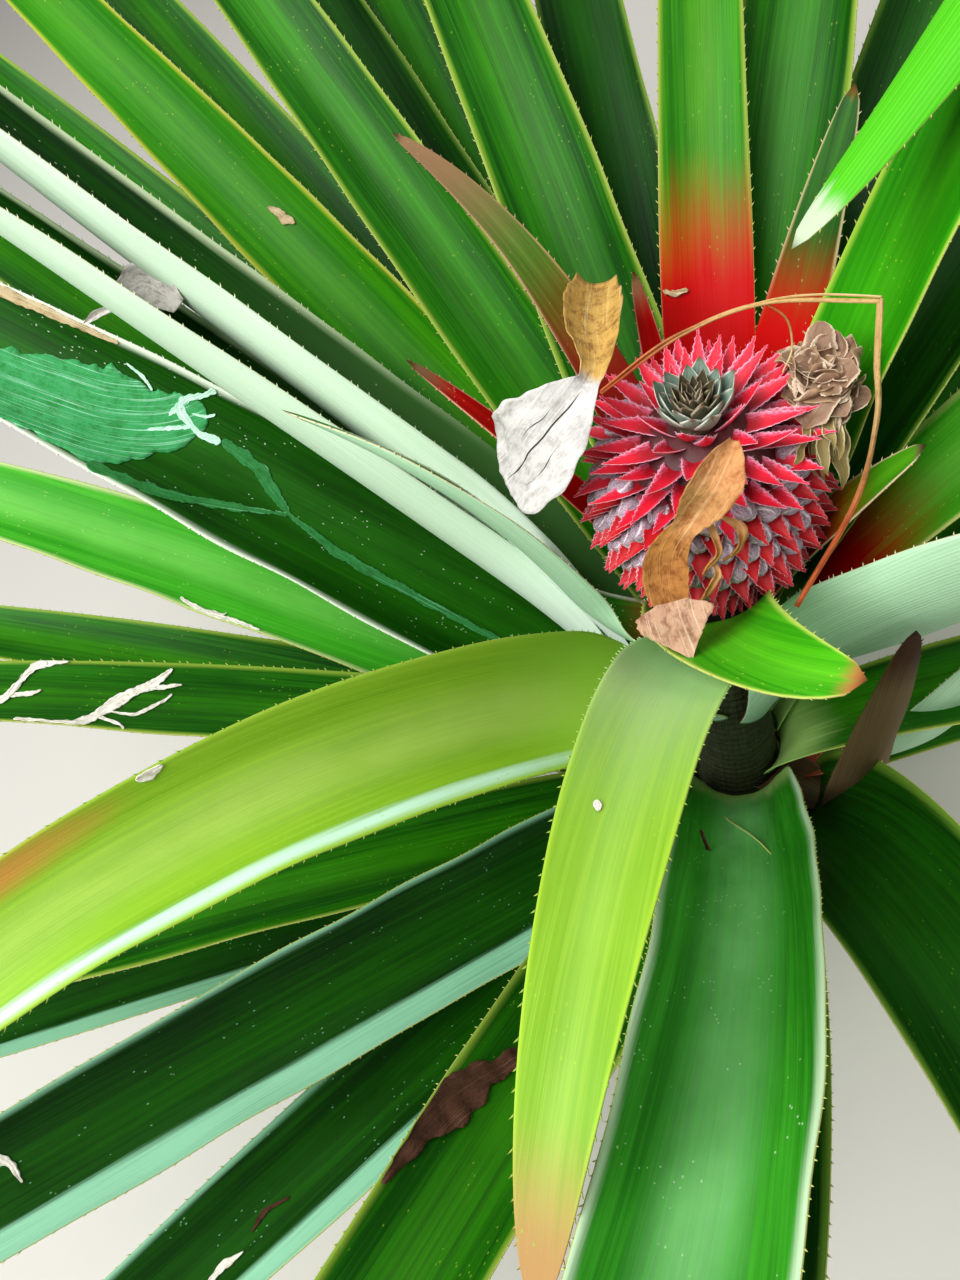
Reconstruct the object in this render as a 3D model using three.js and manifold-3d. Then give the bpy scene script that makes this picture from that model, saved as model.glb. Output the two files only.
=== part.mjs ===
// A pineapple plant in fruit: a short stem, a rosette of long channelled leaves, a young red
// fruit with its small crown, and the dry leaves that lie caught in the rosette.
// Millimetres and degrees, +Z up. The origin is the middle of the stem's flat cut at ground level.
import * as THREE from "three";
import { mergeVertices } from "three/addons/utils/BufferGeometryUtils.js";
import Module from "manifold-3d";

// Driving dimensions
const degree = Math.PI / 180;
const goldenAngle = 137.5;
const clearance = 0.3;
const stem = {
  height: 335,
  footRadius: 44,
  lowRadius: 36.5,
  topRadius: 16,
  flareHeight: 14,
  flareRows: [0, 0.4, 0.7, 1],
  sides: 24,
};
const peduncle = { top: 390, radius: 11, shoulderRadius: 15, taper: 12, sides: 14 };
const fruit = { bottom: 390.3, top: 480, radius: 42, endRadius: 13, fullness: 0.6, sides: 16, rows: 8 };
const bracts = {
  count: 86,
  lowLength: 14,
  topLength: 19,
  width: 14,
  depth: 7,
  root: 4,
  lowTilt: -30,
  topTilt: 66,
  tiltPower: 1.3,
  lowShare: 0.1,
  topShare: 0.95,
};
const crown = { bottom: 480.3, height: 12, radius: 9, shoulder: 3, sides: 10 };
const leaflets = {
  count: 21,
  outerLength: 19,
  innerLength: 10.5,
  width: 8,
  depth: 3,
  root: 4,
  outerTilt: 25,
  innerTilt: 80,
  outerSeat: 8.1,
  innerSeat: 4,
  topGap: 2,
};
// Every leaf starts steeply along the stem, hugs it over the grip angle, and opens out and bends over within its
// first part. Its hollow is the radius that its section is curved to. Shares are of its length, or of its half width.
// A leaf may have its own relax length, hollow and open share. A knee turns it up where it leaves the stem, and a
// fold bends it right over.
const blade = {
  startRise: 76,
  relaxLength: 40,
  hollow: 45,
  hollowPower: 3,
  leastClimb: 0.25,
  gripAngle: 50,
  gripGap: 1,
  openShare: 0.22,
  taperShare: 0.3,
  taperPower: 2.2,
  narrowing: 0.35,
  rollShare: 0.3,
  thicknessRatio: 0.0102,
  baseThickness: 3.2,
  baseShare: 0.04,
  thickenShare: 0.2,
  upperShare: 0.36,
  lowerShare: 0.5,
  spans: 11,
  finePerSpan: 6,
  spanPower: 1.2,
};

// Each leaf: the heading of its base and its drop below the stem's top, how steeply it rises, how far it bends over by
// its tip, its length and width, how far its heading swings by its tip, and how it rolls about its own middle line.
const leafTable = [
  { name: "leaf_back_middle", azimuth: 83, drop: 25, rise: 58, bend: 75, length: 525, width: 44 },
  { name: "leaf_back_right", azimuth: 71, drop: 37, rise: 50, bend: 40, length: 620, width: 60 },
  { name: "leaf_back_broad", azimuth: 58, drop: 69, rise: 47, bend: 45, length: 600, width: 62 },
  { name: "leaf_back_low", azimuth: 97, drop: 90, rise: 44, bend: 40, length: 640, width: 58 },
  { name: "leaf_back_left", azimuth: 108, drop: 55, rise: 47, bend: 45, length: 640, width: 60, roll: -15 },
  {
    name: "leaf_left_back_low", azimuth: 119, drop: 100, rise: 38, bend: 20, length: 720, width: 58,
    roll: -14,
  },
  { name: "leaf_left_back", azimuth: 126, drop: 76, rise: 44, bend: 20, length: 700, width: 54, roll: -20 },
  {
    name: "leaf_left_long", azimuth: 135, drop: 118, rise: 36, bend: 12, length: 800, width: 62,
    roll: -26,
  },
  {
    name: "leaf_left_channel_upper", azimuth: 154, drop: 122, rise: 47, bend: -8, length: 720, width: 82,
    roll: 40, hollow: 23,
  },
  {
    name: "leaf_left_channel_lower", azimuth: 160, drop: 160, rise: 52, bend: 0, length: 700, width: 74,
    roll: 50, hollow: 27,
  },
  {
    name: "leaf_left_wide", azimuth: 161, drop: 190, rise: 42, bend: 5, length: 700, width: 108,
    roll: -20,
  },
  {
    name: "leaf_left_under", azimuth: 167, drop: 225, rise: 36, bend: 18, length: 700, width: 74,
    roll: -15,
  },
  { name: "leaf_left_narrow", azimuth: 187, drop: 211, rise: 40, bend: 20, length: 640, width: 56 },
  {
    name: "leaf_front_left_arching", azimuth: 218, drop: 92, rise: 54, bend: 110, length: 620, width: 70,
    roll: -35, cutSpan: 7,
  },
  { name: "leaf_front_left_low", azimuth: 204, drop: 312, rise: 30, bend: 16, length: 700, width: 60 },
  {
    name: "leaf_front_left_long", azimuth: 219, drop: 255, rise: 34, bend: 12, length: 760, width: 80,
    roll: -20,
  },
  { name: "leaf_front_left_dark", azimuth: 246, drop: 235, rise: 45, bend: 20, length: 700, width: 72 },
  { name: "leaf_front_drooping", azimuth: 257, drop: 40, rise: 64, bend: 100, length: 392, width: 54 },
  {
    name: "leaf_front_broad", azimuth: 269, drop: 205, rise: 56, bend: 30, length: 700, width: 78,
    swing: -35, open: 0.06,
  },
  {
    name: "leaf_front_edge", azimuth: 271, drop: 246, rise: 56, bend: 30, length: 700, width: 64,
    swing: -34, open: 0.08,
  },
  {
    name: "leaf_front_right_drooping", azimuth: 296, drop: 290, rise: 76, bend: 140, length: 540, width: 110,
    swing: -20, open: 0.25, cutSpan: 7,
  },
  {
    name: "leaf_front_right", azimuth: 327, drop: 100, rise: 60, bend: 20, length: 480, width: 86,
    roll: -60, relax: 70, hollow: 60, open: 0.3,
  },
  {
    name: "leaf_right_low", azimuth: 348, drop: 205, rise: 18, bend: 0, length: 400, width: 42,
    roll: -70, relax: 10, knee: { at: 0.2, angle: -56, soft: 0.2 },
  },
  { name: "leaf_right", azimuth: 12, drop: 76, rise: 50, bend: 40, length: 600, width: 54 },
  { name: "leaf_right_back", azimuth: 32, drop: 50, rise: 54, bend: 30, length: 560, width: 56 },
  {
    name: "heart_leaf_left", azimuth: 171, drop: 45, rise: 25, bend: 45, length: 270, width: 42,
    roll: 50, hollow: 30, relax: 8, knee: { at: 0.2, angle: -52, soft: 0.2 },
  },
  {
    name: "heart_leaf_back_left", azimuth: 118, drop: 10, rise: 62, bend: 30, length: 278, width: 28,
    swing: 34,
  },
  { name: "heart_leaf_red_left", azimuth: 166, drop: 1, rise: 62, bend: 10, length: 206, width: 18 },
  { name: "heart_leaf_red_right", azimuth: 350, drop: 4, rise: 62, bend: 10, length: 148, width: 32 },
  { name: "heart_leaf_back_right", azimuth: 56, drop: 14, rise: 62, bend: 10, length: 242, width: 38 },
  {
    name: "heart_leaf_curled", azimuth: 262, drop: 2, rise: 60, bend: 40, length: 200, width: 64,
    swing: 76, open: 0.12,
  },
  { name: "heart_leaf_red_spike", azimuth: 104, drop: 0, rise: 68, bend: 0, length: 172, width: 18 },
  { name: "skirt_leaf_1", azimuth: 20, drop: 115, rise: 34, bend: 30, length: 680, width: 56 },
  { name: "skirt_leaf_2", azimuth: 352, drop: 185, rise: 34, bend: 40, length: 660, width: 56 },
  { name: "skirt_leaf_3", azimuth: 42, drop: 165, rise: 28, bend: 25, length: 700, width: 56 },
  { name: "skirt_leaf_4", azimuth: 85, drop: 175, rise: 28, bend: 25, length: 700, width: 56 },
  { name: "skirt_leaf_5", azimuth: 142, drop: 155, rise: 37, bend: 10, length: 780, width: 66 },
  { name: "skirt_leaf_6", azimuth: 5, drop: 262, rise: 20, bend: 15, length: 680, width: 54 },
  { name: "skirt_leaf_7", azimuth: 65, drop: 260, rise: 20, bend: 15, length: 680, width: 54 },
  { name: "skirt_leaf_8", azimuth: 112, drop: 285, rise: 20, bend: 15, length: 680, width: 54 },
  { name: "skirt_leaf_9", azimuth: 174, drop: 262, rise: 30, bend: 15, length: 680, width: 64 },
  { name: "skirt_leaf_10", azimuth: 318, drop: 285, rise: 24, bend: 18, length: 640, width: 54 },
  { name: "skirt_leaf_11", azimuth: 204, drop: 262, rise: 34, bend: 14, length: 700, width: 64 },
  { name: "skirt_leaf_12", azimuth: 130, drop: 145, rise: 38, bend: 16, length: 760, width: 64 },
  { name: "skirt_leaf_13", azimuth: 113, drop: 135, rise: 38, bend: 22, length: 740, width: 60 },
  { name: "skirt_leaf_14", azimuth: 229, drop: 275, rise: 31, bend: 8, length: 740, width: 72 },
  { name: "skirt_leaf_15", azimuth: 152, drop: 205, rise: 41, bend: 2, length: 740, width: 60 },
  {
    name: "leaf_folded", azimuth: 28, drop: 31, rise: 70, bend: 18, length: 440, width: 50,
    fold: { at: 0.735, angle: -162, soft: 0.05 },
  },
  {
    name: "dead_leaf_right", azimuth: 320, drop: 195, rise: 12, bend: 0, length: 300, width: 34,
    roll: -40, relax: 8, knee: { at: 0.19, angle: -74, soft: 0.12 },
  },
];

// The dry pieces that lie in the rosette: a middle line, the width at each of its points, the way that the upper side
// faces, and how far the strip turns about its middle line by its end. Each stretch of the line takes three spans.
const drySpans = 3;
const dryTable = [
  {
    name: "dry_leaf_left",
    line: [[-37, 90, 479], [-38, 49, 494], [-37, 13, 503], [-48, -3, 502], [-65, -10, 489], [-81, -6, 467]],
    width: [18, 22, 10, 34, 38, 8],
    facing: [0.2, -0.3, 1],
    turn: 10,
    thickness: 2.2,
  },
  {
    name: "dry_leaf_front",
    line: [[12, -36, 507], [4, -50, 502], [-6, -52, 486], [-16, -56, 470], [-17, -66, 456], [-19, -86, 452]],
    width: [10, 17, 15, 16, 26, 5],
    facing: [-0.1, -1, 0.5],
    turn: -15,
    thickness: 2.2,
  },
  {
    name: "dry_straw",
    line: [
      [-34, -2, 506], [-2, 10, 516], [29, 14, 520], [65, -3, 527], [62, -27, 495], [54, -41, 466], [30, -64, 434],
    ],
    width: [4, 4, 4, 5, 4, 4, 3],
    facing: [0, -0.3, 1],
    turn: 0,
    thickness: 3,
  },
];
const witheredLeaf = { centre: [52, 16, 478], size: [14, 21, 22], detail: 2, crumple: 0.2, waves: 5 };

const looks = {
  stem: { color: 0x4a5a2c, roughness: 0.8, metalness: 0 },
  leaf: { color: 0x2f7a1c, roughness: 0.45, metalness: 0 },
  heartLeaf: { color: 0x8f2a1c, roughness: 0.5, metalness: 0 },
  fruit: { color: 0xb01c30, roughness: 0.55, metalness: 0 },
  crown: { color: 0x7f9480, roughness: 0.7, metalness: 0 },
  dryLeaf: { color: 0xa58a68, roughness: 0.85, metalness: 0 },
};

const wasm = await Module();
wasm.setup();

function smoothStep(value) {
  const t = Math.min(Math.max(value, 0), 1);
  return t * t * (3 - 2 * t);
}

function mix(from, to, share) {
  return from + (to - from) * share;
}

function toSolid(geometry) {
  const plain = geometry.clone();
  plain.deleteAttribute("normal");
  plain.deleteAttribute("uv");
  const merged = mergeVertices(plain, 1e-4);
  const vertProperties = new Float32Array(merged.attributes.position.array);
  const triVerts = new Uint32Array(merged.index.array);
  return new wasm.Manifold(new wasm.Mesh({ numProp: 3, vertProperties, triVerts }));
}

function toGeometry(solid) {
  const mesh = solid.getMesh();
  const geometry = new THREE.BufferGeometry();
  geometry.setAttribute("position", new THREE.BufferAttribute(Float32Array.from(mesh.vertProperties), 3));
  geometry.setIndex(new THREE.BufferAttribute(Uint32Array.from(mesh.triVerts), 1));
  geometry.computeVertexNormals();
  return geometry;
}

function lathe(profile, sides) {
  const geometry = new THREE.LatheGeometry(profile.map(([r, z]) => new THREE.Vector2(r, z)), sides);
  geometry.rotateX(90 * degree);
  return geometry;
}

// The stem tapers from its flared foot to the fruit stalk
function stemRadius(height) {
  if (height < stem.flareHeight) {
    const share = 1 - height / stem.flareHeight;
    return stem.lowRadius + (stem.footRadius - stem.lowRadius) * share * share;
  }
  const share = (height - stem.flareHeight) / (stem.height - stem.flareHeight);
  return mix(stem.lowRadius, stem.topRadius, Math.min(share, 1));
}

function stemGeometry(grow) {
  const rows = stem.flareRows.map((share) => share * stem.flareHeight);
  const profile = [...rows, stem.height + grow].map((z) => [stemRadius(z) + grow, z]);
  return lathe([[0, 0], ...profile, [0, stem.height + grow]], stem.sides);
}

function peduncleGeometry(grow) {
  const foot = stem.height + clearance;
  const profile = [
    [peduncle.shoulderRadius, foot],
    [peduncle.radius, foot + peduncle.taper],
    [peduncle.radius, peduncle.top - peduncle.taper],
    [peduncle.shoulderRadius, peduncle.top],
  ];
  const grown = profile.map(([r, z]) => [r + grow, z]);
  return lathe([[0, foot], ...grown, [0, peduncle.top]], peduncle.sides);
}

// A flattened three-sided spike that points along its own +Z, with its root sunk below z = 0
function spikeSolid(shape, length, grow, place) {
  const geometry = new THREE.ConeGeometry(1, length + shape.root + grow, 3);
  geometry.rotateX(90 * degree);
  geometry.translate(0, 0, (length - shape.root + grow) / 2);
  geometry.scale(shape.width / 2 + grow, shape.depth / 2 + grow, 1);
  geometry.applyMatrix4(place);
  return toSolid(geometry);
}

// Places a spike on an axis at the azimuth, radius and height given, leaning by the tilt
function spikePlace(azimuth, radius, height, tilt) {
  const outward = new THREE.Vector3(Math.cos(azimuth), Math.sin(azimuth), 0);
  const along = outward.clone().multiplyScalar(Math.cos(tilt)).setZ(Math.sin(tilt));
  const across = new THREE.Vector3(-outward.y, outward.x, 0);
  const face = new THREE.Vector3().crossVectors(along, across);
  const place = new THREE.Matrix4().makeBasis(across, face, along);
  return place.setPosition(radius * outward.x, radius * outward.y, height);
}

function fruitRadius(share) {
  const swell = Math.max(Math.sin(share * Math.PI), 0) ** fruit.fullness;
  return mix(fruit.endRadius, fruit.radius, swell);
}

function fruitSolid(grow) {
  const profile = [];
  for (let row = 0; row <= fruit.rows; row += 1) {
    const share = row / fruit.rows;
    profile.push([fruitRadius(share) + grow, mix(fruit.bottom, fruit.top, share)]);
  }
  let solid = toSolid(lathe([[0, fruit.bottom], ...profile, [0, fruit.top]], fruit.sides));
  for (let index = 0; index < bracts.count; index += 1) {
    const share = mix(bracts.lowShare, bracts.topShare, index / (bracts.count - 1));
    const tilt = mix(bracts.lowTilt, bracts.topTilt, share ** bracts.tiltPower) * degree;
    const length = mix(bracts.lowLength, bracts.topLength, share);
    const height = mix(fruit.bottom, fruit.top, share);
    const place = spikePlace(index * goldenAngle * degree, fruitRadius(share), height, tilt);
    solid = solid.add(spikeSolid(bracts, length, grow, place));
  }
  return solid;
}

function crownSolid(grow) {
  const top = crown.bottom + crown.height;
  const side = crown.radius + grow;
  const profile = [[side, crown.bottom], [side, top - crown.shoulder], [crown.radius / 2, top]];
  let solid = toSolid(lathe([[0, crown.bottom], ...profile, [0, top]], crown.sides));
  for (let index = 0; index < leaflets.count; index += 1) {
    const share = index / (leaflets.count - 1);
    const tilt = mix(leaflets.outerTilt, leaflets.innerTilt, share) * degree;
    const height = mix(crown.bottom + leaflets.root, top - leaflets.topGap, share);
    const radius = mix(leaflets.outerSeat, leaflets.innerSeat, share);
    const length = mix(leaflets.outerLength, leaflets.innerLength, share);
    const place = spikePlace(index * goldenAngle * degree, radius, height, tilt);
    solid = solid.add(spikeSolid(leaflets, length, grow, place));
  }
  return solid;
}

// Triangles over one flat ring, in the ring's own order
function capFaces(ring) {
  const xAxis = ring[ring.length >> 1].clone().sub(ring[0]).normalize();
  const normal = new THREE.Vector3();
  ring.forEach((point, index) => {
    const next = ring[(index + 1) % ring.length];
    normal.add(new THREE.Vector3().crossVectors(point.clone().sub(ring[0]), next.clone().sub(ring[0])));
  });
  const yAxis = normal.normalize().cross(xAxis);
  const outline = ring.map((point) => new THREE.Vector2(point.dot(xAxis), point.dot(yAxis)));
  return THREE.ShapeUtils.triangulateShape(outline, []);
}

// A closed strip: rings of equal length, a cap over the first ring, and at the end one point or another cap
function stripGeometry(rings, tip) {
  const count = rings[0].length;
  const points = rings.flat();
  const last = (rings.length - 1) * count;
  const faces = [];
  for (let row = 0; row + 1 < rings.length; row += 1) {
    for (let side = 0; side < count; side += 1) {
      const a = row * count + side;
      const b = row * count + ((side + 1) % count);
      faces.push(a, b + count, b, a, a + count, b + count);
    }
  }
  faces.push(...capFaces(rings[0]).flat());
  if (tip) {
    points.push(tip);
    for (let side = 0; side < count; side += 1) {
      faces.push(last + ((side + 1) % count), last + side, points.length - 1);
    }
  } else {
    const endCap = capFaces(rings[rings.length - 1]).flat().map((index) => index + last);
    faces.push(...endCap.reverse());
  }
  const geometry = new THREE.BufferGeometry();
  const numbers = points.flatMap((point) => [point.x, point.y, point.z]);
  geometry.setAttribute("position", new THREE.Float32BufferAttribute(numbers, 3));
  geometry.setIndex(faces);
  return geometry;
}

// Direction of a leaf's middle line at the share u of its length, its rise above level and its heading round the stem
function leafHeading(leaf, u) {
  const settle = Math.exp((-u * leaf.length) / (leaf.relax ?? blade.relaxLength));
  const turn = leaf.fold ?? leaf.knee;
  const turned = turn ? turn.angle * smoothStep((u - turn.at) / turn.soft + 0.5) : 0;
  const rise = mix(leaf.rise, blade.startRise, settle) - leaf.bend * u * u - turned;
  const azimuth = leaf.azimuth + (leaf.swing ?? 0) * u * u;
  return { rise: rise * degree, azimuth: azimuth * degree };
}

function leafAlong(leaf, u) {
  const { rise, azimuth } = leafHeading(leaf, u);
  return new THREE.Vector3(Math.cos(rise) * Math.cos(azimuth), Math.cos(rise) * Math.sin(azimuth), Math.sin(rise));
}

function leafWidth(leaf, u, gripRadius) {
  const base = Math.min(2 * gripRadius * blade.gripAngle * degree, leaf.width);
  const taper = Math.max((u - blade.taperShare) / (1 - blade.taperShare), 0);
  const full = leaf.width * Math.sqrt(1 - taper ** blade.taperPower) * (1 - blade.narrowing * taper);
  return Math.min(mix(base, leaf.width, smoothStep(u / (leaf.open ?? blade.openShare))), full);
}

// Four points on the upper side and two on the lower, on arcs that turn with the channel. A grown ring doubles
// its two edge points, so that it holds the sharp edges of the plain one.
function leafRing(leaf, u, centre, gripRadius, grow) {
  const { rise, azimuth } = leafHeading(leaf, u);
  const across = new THREE.Vector3(-Math.sin(azimuth), Math.cos(azimuth), 0);
  const up = new THREE.Vector3().crossVectors(leafAlong(leaf, u), across);
  const roll = (leaf.roll ?? 0) * degree * smoothStep(u / blade.rollShare);
  const side = across.clone().multiplyScalar(Math.cos(roll)).addScaledVector(up, Math.sin(roll));
  const face = up.clone().multiplyScalar(Math.cos(roll)).addScaledVector(across, -Math.sin(roll));
  const reach = Math.hypot(centre.x, centre.y) / Math.max(Math.sin(rise), blade.leastClimb);
  const bend = reach ** -blade.hollowPower + (leaf.hollow ?? blade.hollow) ** -blade.hollowPower;
  const curve = bend ** (-1 / blade.hollowPower);
  const half = leafWidth(leaf, u, gripRadius) / 2;
  const spread = (half + 2 * grow) / curve;
  const body = Math.min(leaf.length * blade.thicknessRatio, half / 2);
  const thicken = smoothStep((u - blade.baseShare) / blade.thickenShare);
  const thickness = mix(Math.min(blade.baseThickness, body), body, thicken);
  const point = (share, depth) => {
    const angle = spread * share;
    return centre
      .clone()
      .addScaledVector(side, (curve + depth) * Math.sin(angle))
      .addScaledVector(face, curve - (curve + depth) * Math.cos(angle));
  };
  const under = thickness + 2 * grow;
  const leftEdge = grow > 0 ? [point(-1, 2 * grow), point(-1, -2 * grow)] : [point(-1, 0)];
  const rightEdge = grow > 0 ? [point(1, -2 * grow), point(1, 2 * grow)] : [point(1, 0)];
  return [
    ...leftEdge,
    point(-blade.upperShare, -2 * grow),
    point(blade.upperShare, -2 * grow),
    ...rightEdge,
    point(blade.lowerShare, under),
    point(-blade.lowerShare, under),
  ];
}

// The leaf's middle line, summed in fine steps. Every last step of a span carries a ring.
function leafCourse(leaf, gripRadius) {
  const azimuth = leaf.azimuth * degree;
  const start = gripRadius + blade.gripGap;
  const centre = new THREE.Vector3(start * Math.cos(azimuth), start * Math.sin(azimuth), stem.height - leaf.drop);
  const steps = blade.spans * blade.finePerSpan;
  const course = [{ u: 0, centre: centre.clone() }];
  for (let step = 1; step <= steps; step += 1) {
    const u = (step / steps) ** blade.spanPower;
    const before = course[step - 1].u;
    const { rise, azimuth: heading } = leafHeading(leaf, (u + before) / 2);
    const distance = (u - before) * leaf.length;
    centre.x += distance * Math.cos(rise) * Math.cos(heading);
    centre.y += distance * Math.cos(rise) * Math.sin(heading);
    centre.z += distance * Math.sin(rise);
    course.push({ u, centre: centre.clone() });
  }
  return course;
}

// A folded leaf is two pieces with its crease left open, and one that arches over a wide gap is cut at a ring
function leafCut(leaf) {
  if (leaf.fold) {
    return [leaf.fold.at - leaf.fold.soft / 2, leaf.fold.at + leaf.fold.soft / 2];
  }
  const share = leaf.cutSpan ? (leaf.cutSpan / blade.spans) ** blade.spanPower : 1;
  return [share, share];
}

// The leaf's solid between two shares of its length: one ring a span, and one at each end that isn't the leaf's tip
function leafGeometry(leaf, grow, from, to) {
  const gripRadius = stemRadius(stem.height - leaf.drop) + clearance;
  const course = leafCourse(leaf, gripRadius);
  const inner = course.filter(({ u }, step) => step % blade.finePerSpan === 0 && u > from && u < to);
  const stops = [course.find(({ u }) => u >= from), ...inner];
  const last = course.findLast(({ u }) => u <= to);
  if (to < 1) {
    stops.push({ u: last.u, centre: last.centre.clone().addScaledVector(leafAlong(leaf, last.u), grow) });
  }
  const rings = stops.map(({ u, centre }) => leafRing(leaf, u, centre, gripRadius, grow));
  rings[0].forEach((point) => point.setZ(point.z - 2 * grow));
  const tip = to < 1 ? null : last.centre.clone().setZ(last.centre.z + 2 * grow);
  return stripGeometry(rings, tip);
}

// A thin dry strip of four-pointed rings along a smooth curve
function dryGeometry(strip, grow) {
  const curve = new THREE.CatmullRomCurve3(strip.line.map((point) => new THREE.Vector3(...point)));
  const facing = new THREE.Vector3(...strip.facing).normalize();
  const spans = drySpans * (strip.line.length - 1);
  const rings = [];
  for (let step = 0; step < spans; step += 1) {
    const t = step / spans;
    const along = curve.getTangent(t);
    const place = t * (strip.width.length - 1);
    const index = Math.floor(place);
    const half = mix(strip.width[index], strip.width[index + 1], place - index) / 2 + grow;
    const side = new THREE.Vector3().crossVectors(along, facing).normalize();
    side.applyAxisAngle(along, strip.turn * t * degree);
    const face = new THREE.Vector3().crossVectors(side, along).normalize();
    const middle = curve.getPoint(t);
    const depth = strip.thickness / 2 + grow;
    rings.push([
      middle.clone().addScaledVector(side, half),
      middle.clone().addScaledVector(face, depth),
      middle.clone().addScaledVector(side, -half),
      middle.clone().addScaledVector(face, -depth),
    ]);
  }
  return stripGeometry(rings, curve.getPoint(1));
}

// The withered leaf is a crumpled ball whose surface waves in and out
function witheredGeometry(grow) {
  const geometry = new THREE.IcosahedronGeometry(1, witheredLeaf.detail);
  const position = geometry.attributes.position;
  const point = new THREE.Vector3();
  for (let index = 0; index < position.count; index += 1) {
    point.fromBufferAttribute(position, index);
    const wave = Math.sin(witheredLeaf.waves * point.x + 2 * point.z) * Math.cos(witheredLeaf.waves * point.y);
    point.multiplyScalar(1 + witheredLeaf.crumple * wave);
    position.setXYZ(index, point.x, point.y, point.z);
  }
  geometry.scale(...witheredLeaf.size.map((half) => half + grow));
  geometry.translate(...witheredLeaf.centre);
  return geometry;
}

const plant = new THREE.Group();
plant.name = "pineapple_plant";
const placed = [];

function boxesMeet(a, b) {
  return [0, 1, 2].every((axis) => a.min[axis] < b.max[axis] && b.min[axis] < a.max[axis]);
}

// Adds a piece, cut clear of everything placed before it. Only its largest body is kept.
function add(name, look, solid, grown) {
  const box = solid.boundingBox();
  let clear = solid;
  for (const earlier of placed) {
    if (boxesMeet(box, earlier.box)) {
      clear = clear.subtract(earlier.grown);
    }
  }
  const bodies = clear.decompose().sort((a, b) => b.volume() - a.volume());
  const mesh = new THREE.Mesh(toGeometry(bodies[0]), new THREE.MeshStandardMaterial(look));
  mesh.name = name;
  plant.add(mesh);
  placed.push({ grown, box: grown.boundingBox() });
}

function addGrowing(name, look, makeSolid) {
  add(name, look, makeSolid(0), makeSolid(clearance));
}

addGrowing("stem", looks.stem, (grow) => toSolid(stemGeometry(grow)));
addGrowing("peduncle", looks.stem, (grow) => toSolid(peduncleGeometry(grow)));
addGrowing("fruit", looks.fruit, fruitSolid);
addGrowing("crown", looks.crown, crownSolid);
const leafLooks = { heart: looks.heartLeaf, dead: looks.dryLeaf };
for (const leaf of leafTable) {
  const look = leafLooks[leaf.name.split("_")[0]] ?? looks.leaf;
  const [to, from] = leafCut(leaf);
  addGrowing(leaf.name, look, (grow) => toSolid(leafGeometry(leaf, grow, 0, to)));
  if (to < 1) {
    addGrowing(`${leaf.name}_tip`, look, (grow) => toSolid(leafGeometry(leaf, grow, from, 1)));
  }
}
addGrowing("withered_leaf", looks.dryLeaf, (grow) => toSolid(witheredGeometry(grow)));
for (const strip of dryTable) {
  addGrowing(strip.name, looks.dryLeaf, (grow) => toSolid(dryGeometry(strip, grow)));
}

export default plant;
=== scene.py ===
import math
import bpy
import numpy as np
from mathutils import Matrix, Vector


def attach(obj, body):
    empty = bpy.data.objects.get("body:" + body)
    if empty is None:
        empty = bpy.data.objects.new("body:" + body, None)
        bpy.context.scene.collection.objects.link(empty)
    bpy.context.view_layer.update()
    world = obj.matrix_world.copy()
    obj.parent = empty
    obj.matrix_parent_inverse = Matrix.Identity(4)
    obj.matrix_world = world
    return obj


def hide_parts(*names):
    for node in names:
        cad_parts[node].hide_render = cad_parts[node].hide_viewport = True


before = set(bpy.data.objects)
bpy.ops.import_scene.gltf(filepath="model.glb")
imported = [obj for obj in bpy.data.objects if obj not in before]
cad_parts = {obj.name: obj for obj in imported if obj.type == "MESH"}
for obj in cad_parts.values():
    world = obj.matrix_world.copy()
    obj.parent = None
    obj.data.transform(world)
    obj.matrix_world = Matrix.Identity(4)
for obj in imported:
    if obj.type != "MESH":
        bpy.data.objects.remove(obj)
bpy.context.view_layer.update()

mm = 0.001
print("Pineapple plant: the solids are loaded,", len(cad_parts), "nodes")


# Small helps for numbers. Lengths are in millimetres until a mesh is built.

def smooth(value):
    value = np.clip(value, 0.0, 1.0)
    return value * value * (3 - 2 * value)


def mixed(first, second, share):
    return first + (second - first) * share


def pairs(*values):  # values that spread over rows and columns, put side by side
    return np.stack(np.broadcast_arrays(*values), -1)


def unit(vectors):
    return vectors / np.maximum(np.linalg.norm(vectors, axis=-1, keepdims=True), 1e-12)


def tone(code):
    channels = [int(code[i:i + 2], 16) / 255 for i in (0, 2, 4)]
    return [c / 12.92 if c <= 0.04045 else ((c + 0.055) / 1.055) ** 2.4 for c in channels] + [1.0]


def ripple(places, seed, size):  # a smooth seeded waviness from -1 to 1, at about the size given
    rng = np.random.default_rng(seed)
    total = 0.0
    for _ in range(4):
        turn = unit(rng.normal(size=places.shape[-1]))
        wave = rng.uniform(0.7, 1.6) * 2 * math.pi / size
        total = total + np.sin(places @ turn * wave + rng.uniform(0, 2 * math.pi))
    return total / 4


def addObject(name, data):
    made = bpy.data.objects.new(name, data)
    bpy.context.scene.collection.objects.link(made)
    return made


# A pile gathers sheets, round forms and spikes, and becomes one mesh. Lay is the place on a piece in metres,
# and share the same place as shares of its width and length.

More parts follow.
